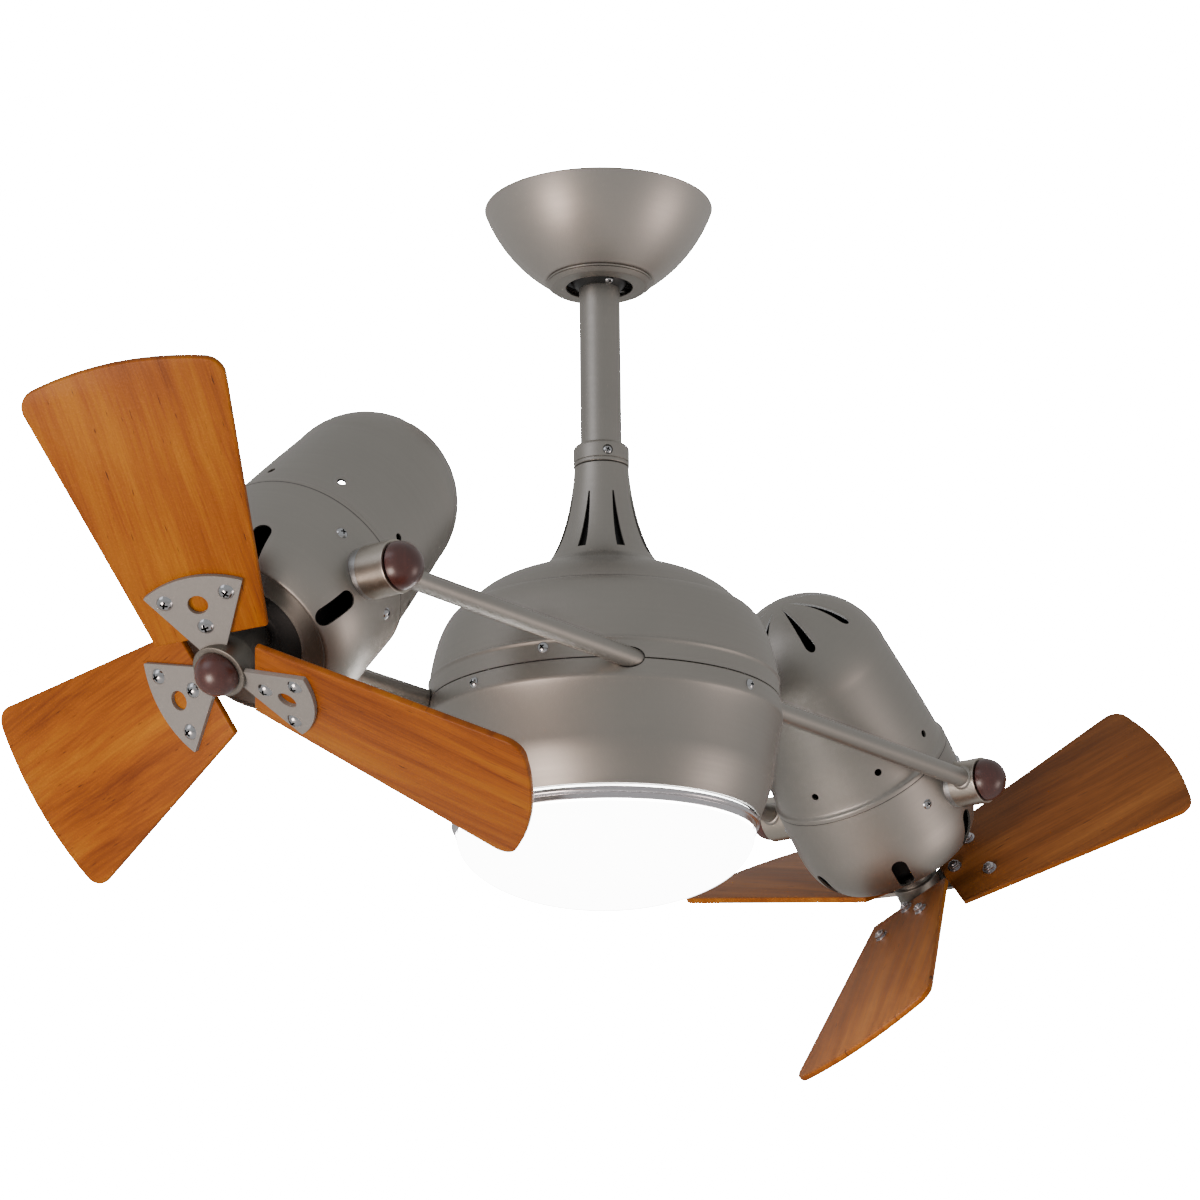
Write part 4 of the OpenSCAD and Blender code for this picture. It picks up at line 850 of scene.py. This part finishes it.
for side, word in SIDES:
    for end, depth in ((-1, "near"), (1, "far")):
        arm(side, end, f"{word}_{depth}_arm")
        wood_cap(side, end, f"{word}_{depth}_cap")


# ---------------------------------------------------------------------------
# Heads: a drawn front shell with six oblong slots over its shoulder and a
# pierced rear shell whose lip it slides over. Four pan head screws join them.
TILTS, AXIS_DROP = {-1: 45.8, 1: 45}, 2.2


def head_place(side):
    """The head's own frame: Z along the motor shaft towards the blades, X up, Y beside the tilt axis."""
    return (turned_by(pi if side > 0 else 0, "Z") @ moved_by(-REACH, 0, SEAM_Z)
            @ turned_by(radians(-90 - TILTS[side]), "Y") @ moved_by(-AXIS_DROP, 0, 0))


def oblong(length, width, steps=10):
    """Outline of a slot with round ends, along X."""
    half = (length - width) / 2
    return (arc((half, 0), width / 2, -pi / 2, pi / 2, steps)
            + arc((-half, 0), width / 2, pi / 2, 3 * pi / 2, steps))


SHELL_R, SHELL_T, SEAM_BACK, RIM_FRONT, RIM_R, MOUTH_R = 64, 1.5, 25, 44.6, 50.5, 34
SHOULDER, FACE_DIP, SEAM_LINE = 9, 1, 0.5
FACE = RIM_FRONT - FACE_DIP
front_outline = eased(
    [(SHELL_R - SHELL_T, SEAM_LINE - SEAM_BACK), (SHELL_R, SEAM_LINE - SEAM_BACK, 0.3)]
    + curve((SHELL_R, SHOULDER), (SHELL_R, SHOULDER + 20), (RIM_R + 7, RIM_FRONT - 6.5),
            (RIM_R + 0.3, RIM_FRONT - 0.3), 30)
    + [(RIM_R - 0.3, RIM_FRONT, 0.2), (RIM_R - 1.2, RIM_FRONT, 0.3), (RIM_R - 2.4, FACE, 0.4),
       (MOUTH_R, FACE, 0.5), (MOUTH_R, FACE - SHELL_T, 0.4), (RIM_R - 3, FACE - SHELL_T)]
    + curve((SHELL_R - SHELL_T, SHOULDER), (SHELL_R - SHELL_T, SHOULDER + 19.4),
            (RIM_R + 6, RIM_FRONT - 7.8), (RIM_R - 1, RIM_FRONT - 1.6), 24)[::-1]
)
SIDE_SLOTS, SIDE_SLOT_L, SIDE_SLOT_W, SIDE_SLOT_ANGLE, SIDE_SLOT_LEAN = 6, 28, 11, 30, 27
WIRE_HOLE_R, WIRE_HOLE_ANGLE = 1.6, 4
DOME_R, DOME_BACK, LIP_R, LIP_L, BEAD = 55.3, 107, 62.35, 36, 2
rear_outline = (
    eased([(LIP_R - SHELL_T, -SEAM_BACK + LIP_L), (LIP_R, -SEAM_BACK + LIP_L), (LIP_R, -SEAM_BACK),
           (SHELL_R, -SEAM_BACK - 0.1, 0.4)])
    + arc((SHELL_R - BEAD, -SEAM_BACK - BEAD), BEAD, 0, -pi / 3, 8) + [(SHELL_R - 2, -SEAM_BACK - 5)]
    + curve((SHELL_R - 2.2, -SEAM_BACK - 6), (SHELL_R - 3.4, -SEAM_BACK - 31),
            (DOME_R + 1.7, -DOME_BACK + 17), (DOME_R, -DOME_BACK), 20)
    + arc((0, -DOME_BACK), DOME_R, -pi / 88, -pi / 2, 43)[:-1]
    + [(0, -DOME_BACK - DOME_R), (0, -DOME_BACK - DOME_R + SHELL_T)]
    + arc((0, -DOME_BACK), DOME_R - SHELL_T, -pi / 2, 0, 44)[1:]
    + [(SHELL_R - 3.6 - SHELL_T, -SEAM_BACK - 33), (SHELL_R - 2.2 - SHELL_T, -SEAM_BACK - 6),
       (LIP_R - SHELL_T, -SEAM_BACK - 1)]
)
TEARS, TEAR_TIP, TEAR_END, TEAR_R = 8, 9, 42.6, 3.3
VENTS, VENT_R, VENT_BACK = 8, 2.5, 19.8
lean = asin(TEAR_R / (TEAR_END - TEAR_TIP))
teardrop = [(TEAR_TIP, 0)] + arc((TEAR_END, 0), TEAR_R, -pi / 2 - lean, pi / 2 + lean, 14)


def front_shell(side, name):
    """Drawn front shell, with its slots and the small hole in its face; its inside is drawn black as painted
    shade.
    """
    made = spun(name, front_outline, 192)
    # Painted shade: the inner faces, seen through the slots, are drawn black.
    lined(made, nickel, painted_shade_black, lambda r, z, outwards, upwards: r > MOUTH_R + 1 and z < FACE - 0.5
          and (outwards < -0.5 or upwards < -0.5) and z > -SEAM_BACK + 1)
    lean_out = moved_by(SHELL_R - 6, 0, RIM_FRONT - 12.5) @ turned_by(radians(90 - SIDE_SLOT_LEAN), "Y")
    slot = slab("slot", oblong(SIDE_SLOT_L, SIDE_SLOT_W), -9, 15, lean_out)
    cut_by(made, repeated("slots", slot, SIDE_SLOTS, SIDE_SLOT_ANGLE))
    drill(made, WIRE_HOLE_R, 0, 8, 24,
          turned_by(radians(WIRE_HOLE_ANGLE), "Z") @ moved_by(RIM_R - 5, 0, FACE - 4))
    made.data.transform(head_place(side))
    finished(made.data)
    return made


def rear_shell(side, name):
    """Pierced rear shell: teardrops round the pole and round holes behind the bead; its inside, and the lip
    that the front shell covers, are drawn black as painted shade.
    """
    made = spun(name, rear_outline, 192)
    # The lip's outside shows only through the thin gap at the seam; it is drawn black as painted shade.
    lined(made, nickel, painted_shade_black, lambda r, z, outwards, upwards: z > -SEAM_BACK
          or outwards * r + upwards * min(0, z + DOME_BACK) < -0.5 * r)
    vents = slab("vent", oblong(2 * VENT_R + 0.01, 2 * VENT_R), 0, 20,
                 facing_out(0, DOME_R - 6, -SEAM_BACK - VENT_BACK))
    cut_by(made, repeated("vents", vents, VENTS))
    tears = slab("teardrop", teardrop, -DOME_BACK - DOME_R - 4, -DOME_BACK - 4)
    cut_by(made, repeated("teardrops", tears, TEARS))
    made.data.transform(head_place(side))
    finished(made.data)
    return made


SHELL_SCREW_S, SHELL_SCREW_ANGLE = -6, 26
steel_black = moulded("black enamel", "0a0a0b", 0.6, 0.8, 0.1, 0.2)
for side, word in SIDES:
    body = f"{word}_head"
    front = front_shell(side, f"{word}_front_shell_drawn")
    stands_for(front, body, None, f"{word}_front_shell")
    rear = rear_shell(side, f"{word}_rear_shell_pierced")
    stands_for(rear, body, None, f"{word}_rear_shell")
    places = [facing_out(a + turn, SHELL_R - 0.1, SHELL_SCREW_S, head_place(side))
              for a in (-90, 90) for turn in (-SHELL_SCREW_ANGLE, SHELL_SCREW_ANGLE)]
    screws = fastened(f"{word}_shell_pan_screws", pan_head, places, bright)
    stands_for(screws, body, None, f"{word}_shell_screws")
    keep_nodes({f"{word}_stator": steel_black, f"{word}_pivot_studs": zinc})


# ---------------------------------------------------------------------------
# Rotors: a black motor bell behind the mouth, a grey hub with three pitched
# slots for the blade irons, three lacquered wood blades and a wood button.
IRON_FRONT, PITCH = 78, 18.5
TURNS = {-1: -11.5, 1: 48.6}
IRON_R, IRON_HALF, IRON_T, IRON_EASE, IRON_HOLE_R, IRON_HOLE_U = 61, 29.5, 3, 0.45, 6, 43.1
HUB_R, HUB_NECK_R, TONGUE_R = 16.5, 13, 9.5
BELL_R, BELL_BACK = MOUTH_R + 9, 12
BELL_FRONT = FACE - SHELL_T - 1
HUB_FRONT, HUB_DISC_BACK = IRON_FRONT + 3.5, IRON_FRONT - 13
BUTTON_R = 13.4
BLADE_R, ROOT_U, ROOT_V, FLARE_RATE, TIP_CORNER = 198, 20, 34.3, 0.165, 12
BLADE_T, BLADE_EASE = 4.5, 1.2
SCREW_SPOTS = ((47.9, 18.6), (47.9, -18.6), (28.8, 0))


def blade_place(side, i):
    """Blade i's own frame: X runs out along the blade, and the iron's face is on z = 0."""
    return (head_place(side) @ moved_by(0, 0, IRON_FRONT)
            @ turned_by(radians(TURNS[side] + 120 * i), "Z") @ turned_by(radians(PITCH), "X"))


def ease_edges(made, ease, segments):
    """Rounds the sharp edges of a plain piece a little; ease is in mm."""
    step = made.modifiers.new("ease", "BEVEL")
    step.width = ease * MM
    step.segments = segments
    step.limit_method = "ANGLE"
    step.angle_limit = radians(50)
    applied(made)


def rounded_slab(name, outline, low, high, ease, place):
    """A flat piece with small rounded edges, with a UV map in metres along X and Y."""
    made = slab(name, outline, low, high)
    layer = made.data.uv_layers.new(name="turning")
    for face in made.data.polygons:
        for loop in face.loop_indices:
            at = made.data.vertices[made.data.loops[loop].vertex_index].co
            layer.data[loop].uv = (at.x, at.y)
    ease_edges(made, ease, 3)
    made.data.transform(place)
    finished(made.data, 30)
    return made


def iron_outline():
    """A sector with a straight inner end and slightly eased corners."""
    half = radians(IRON_HALF)
    inner = TONGUE_R * cos(half)
    corner = asin(2.2 / (IRON_R - 2.2))
    rim = arc((0, 0), IRON_R, -half + corner, half - corner, 24)
    return eased([(inner, -inner * tan(half)),
                  (IRON_R * cos(half), -IRON_R * sin(half), 2.2)] + rim
                 + [(IRON_R * cos(half), IRON_R * sin(half), 2.2), (inner, inner * tan(half))])


def blade_outline():
    """Straight flared sides, round tip corners and a tip on a circle round the shaft."""
    slope = sqrt(1 + FLARE_RATE**2)
    side_v = ROOT_V - FLARE_RATE * ROOT_U
    corner_v = side_v - slope * TIP_CORNER
    reach = BLADE_R - TIP_CORNER
    along = FLARE_RATE * corner_v
    corner_u = (-along + sqrt(along**2 - slope**2 * (corner_v**2 - reach**2))) / slope**2
    corner = (corner_u, corner_v + FLARE_RATE * corner_u)
    turn = atan2(corner[1], corner[0])
    half = [(ROOT_U, ROOT_V)] + arc(corner, TIP_CORNER, pi / 2 + atan2(FLARE_RATE, 1), turn, 12)
    half += arc((0, 0), BLADE_R, turn * 0.93, 0, 12)
    return half + [(u, -v) for u, v in half[-2::-1]]


def blade_wood(name, light, middle, dark, gloss):
    """Veneered blade: straight fibres and soft streaks along the blade, and short dark pores, about 5 mm
    by 0.4 mm, under satin lacquer. The pattern follows the blade's own UV map."""
    made, tree, shader = new_finish(name)
    where = add(tree, "ShaderNodeUVMap", uv_map="turning").outputs[0]
    offset = add(tree, "ShaderNodeAttribute", attribute_name="board").outputs["Vector"]
    shift = add(tree, "ShaderNodeVectorMath", {0: where, 1: offset}, operation="ADD").outputs[0]
    sway = add(tree, "ShaderNodeTexNoise", {"Vector": shift, "Scale": 7.0, "Detail": 1.0})
    bent = add(tree, "ShaderNodeMix", {0: 0.012, 4: shift, 5: sway.outputs[1]}, data_type="VECTOR")

    def drawn_out(stretch, scale, detail):
        along = add(tree, "ShaderNodeMapping", {"Vector": bent.outputs[1], "Scale": (stretch, 1, 1)})
        return noise(tree, along.outputs[0], scale, detail)

    def summed(value, share, rest):
        return add(tree, "ShaderNodeMath", {0: value, 1: share, 2: rest}, operation="MULTIPLY_ADD").outputs[0]

    streaks = drawn_out(0.07, 90.0, 3.0)
    fibre = drawn_out(0.04, 900.0, 3.0)
    pores = drawn_out(0.1, 760.0, 1.0)
    pore = add(tree, "ShaderNodeMapRange", {"Value": pores, "From Min": 0.72, "From Max": 0.8})
    mixed = summed(noise(tree, shift, 9.0, 2.0), 0.25, summed(fibre, 0.25, summed(streaks, 0.5, 0.0)))
    ramp = add(tree, "ShaderNodeValToRGB", {0: mixed})
    ramp.color_ramp.elements[0].position = 0.34
    ramp.color_ramp.elements[0].color = hex_colour(dark)
    ramp.color_ramp.elements[1].position = 0.66
    ramp.color_ramp.elements[1].color = hex_colour(light)
    ramp.color_ramp.elements.new(0.5).color = hex_colour(middle)
    sunk = [c * 0.4 for c in hex_colour(dark)[:3]] + [1]
    surface(tree, shader, between(tree, pore.outputs[0], ramp.outputs[0], sunk), fibre,
            (gloss - 0.06, gloss + 0.08), fibre, 0.08, 0.0004)
    shader.inputs["Specular IOR Level"].default_value = 0.2
    shader.inputs["Coat Weight"].default_value = 0.08
    shader.inputs["Coat Roughness"].default_value = 0.3
    return made


front_wood = blade_wood("orange veneer", "a86706", "934e04", "6c3102", 0.5)
back_wood = blade_wood("brown veneer", "945c28", "7f4a1d", "663812", 0.5)
iron_paint = moulded("satin grey paint", "85837f", 0.42, 0.6, 0.1, 0.05)
hub_paint = plated("grey hub metal", "7d7a74", 0.45)


def hex_nut():
    """A washer, a chamfered hexagon nut and the screw's end, standing on z = 0, in mm."""
    bore_r, washer_r, washer_t, nut_r, nut_top, end_r, end_top = 2.2, 5, 0.7, 4, 3.5, 2, 4.6
    washer = spun("washer", eased([(bore_r, 0), (washer_r, 0), (washer_r, washer_t, 0.3),
                                   (bore_r, washer_t)]), 32)
    hexagon = [(nut_r * cos(pi / 3 * i), nut_r * sin(pi / 3 * i)) for i in range(6)]
    nut = rounded_slab("nut", hexagon, washer_t, nut_top, 0.35, Matrix())
    end = spun("screw end", eased([(0, 0), (end_r, 0), (end_r, end_top, 0.5), (0, end_top)]), 20)
    return joined("washer and nut", [washer, nut, end])


nut_steel = plated("dark zinc plated steel", "bcbabd", 0.28)
nut_shape = hex_nut()
dome_head = screw_head("dome head", 4.85, 2.9, 4.3)
bell_outline = eased([
    (0, BELL_BACK), (BELL_R, BELL_BACK, 1.5), (BELL_R, BELL_FRONT, 3.0),
    (HUB_NECK_R + 6, BELL_FRONT, 0.6), (HUB_NECK_R + 5, BELL_FRONT + 0.5, 0.4), (0, BELL_FRONT + 0.5),
])
hub_outline = eased([
    (0, BELL_FRONT), (HUB_NECK_R, BELL_FRONT), (HUB_NECK_R, HUB_DISC_BACK, 0.8),
    (HUB_R, HUB_DISC_BACK, 0.8), (HUB_R, HUB_FRONT, 0.8), (0, HUB_FRONT),
])
button_outline = [(0, HUB_FRONT), (BUTTON_R - 0.6, HUB_FRONT)]
button_outline += arc((0, HUB_FRONT + 1), BUTTON_R, -0.03, pi / 2, 28)[:-1] + [(0, HUB_FRONT + 1 + BUTTON_R)]

for side, word in SIDES:
    body = f"{word}_rotor"
    bell = spun(f"{word}_motor_bell", bell_outline, 96, head_place(side))
    stands_for(bell, body, steel_black, f"{word}_motor_rotor")
    seats = [blade_place(side, i) for i in range(3)]
    hub = spun(f"{word}_hub_turned", hub_outline, 96)
    for seat in seats:
        cut_by(hub, slab("iron slot", iron_outline(), -IRON_T - 0.1, 0.1,
                         head_place(side).inverted() @ seat))
    hub.data.transform(head_place(side))
    finished(hub.data)
    stands_for(hub, body, hub_paint, f"{word}_hub")
    button = spun(f"{word}_button_turned", button_outline, 64, head_place(side))
    stands_for(button, body, dark_wood, f"{word}_hub_button")
    irons = []
    for seat in seats:
        iron = slab("iron", iron_outline(), -IRON_T, 0)
        drill(iron, IRON_HOLE_R, -4, 1, 40, moved_by(IRON_HOLE_U, 0, 0))
        ease_edges(iron, IRON_EASE, 2)
        iron.data.transform(seat)
        finished(iron.data, 12)
        irons.append(iron)
    whole = joined(f"{word}_irons", irons)
    stands_for(whole, body, iron_paint, f"{word}_blade_irons")
    for i, seat in enumerate(seats):
        made = rounded_slab(f"{word}_blade_{i + 1}_wood", blade_outline(), -IRON_T - BLADE_T, -IRON_T,
                            BLADE_EASE, seat)
        board = made.data.attributes.new("board", "FLOAT_VECTOR", "POINT")
        nudge = (0.7 * i + 0.31 * (side + 1), 0.13 * i + 0.05 * side, 0)  # its own part of the veneer
        board.data.foreach_set("vector", nudge * len(made.data.vertices))
        outward = seat.to_3x3() @ Vector((0, 0, 1))
        coat(made.data, front_wood, back_wood)
        for face in made.data.polygons:
            face.material_index = 1 if face.normal.dot(outward) < -0.5 else 0
        stands_for(made, body, None, f"{word}_blade_{i + 1}")
    heads = [seat @ moved_by(u, v, 0) for seat in seats for u, v in SCREW_SPOTS]
    tails = [seat @ moved_by(u, v, -IRON_T - BLADE_T) @ turned_by(pi, "X")
             for seat in seats for u, v in SCREW_SPOTS]
    screws = joined(f"{word}_blade_fasteners", [
        fastened("heads", dome_head, heads, bright), fastened("nuts", nut_shape, tails, nut_steel)])
    stands_for(screws, body, None, f"{word}_blade_screws")

for pattern in (pan_head, dome_head, nut_shape):
    bpy.data.objects.remove(pattern)
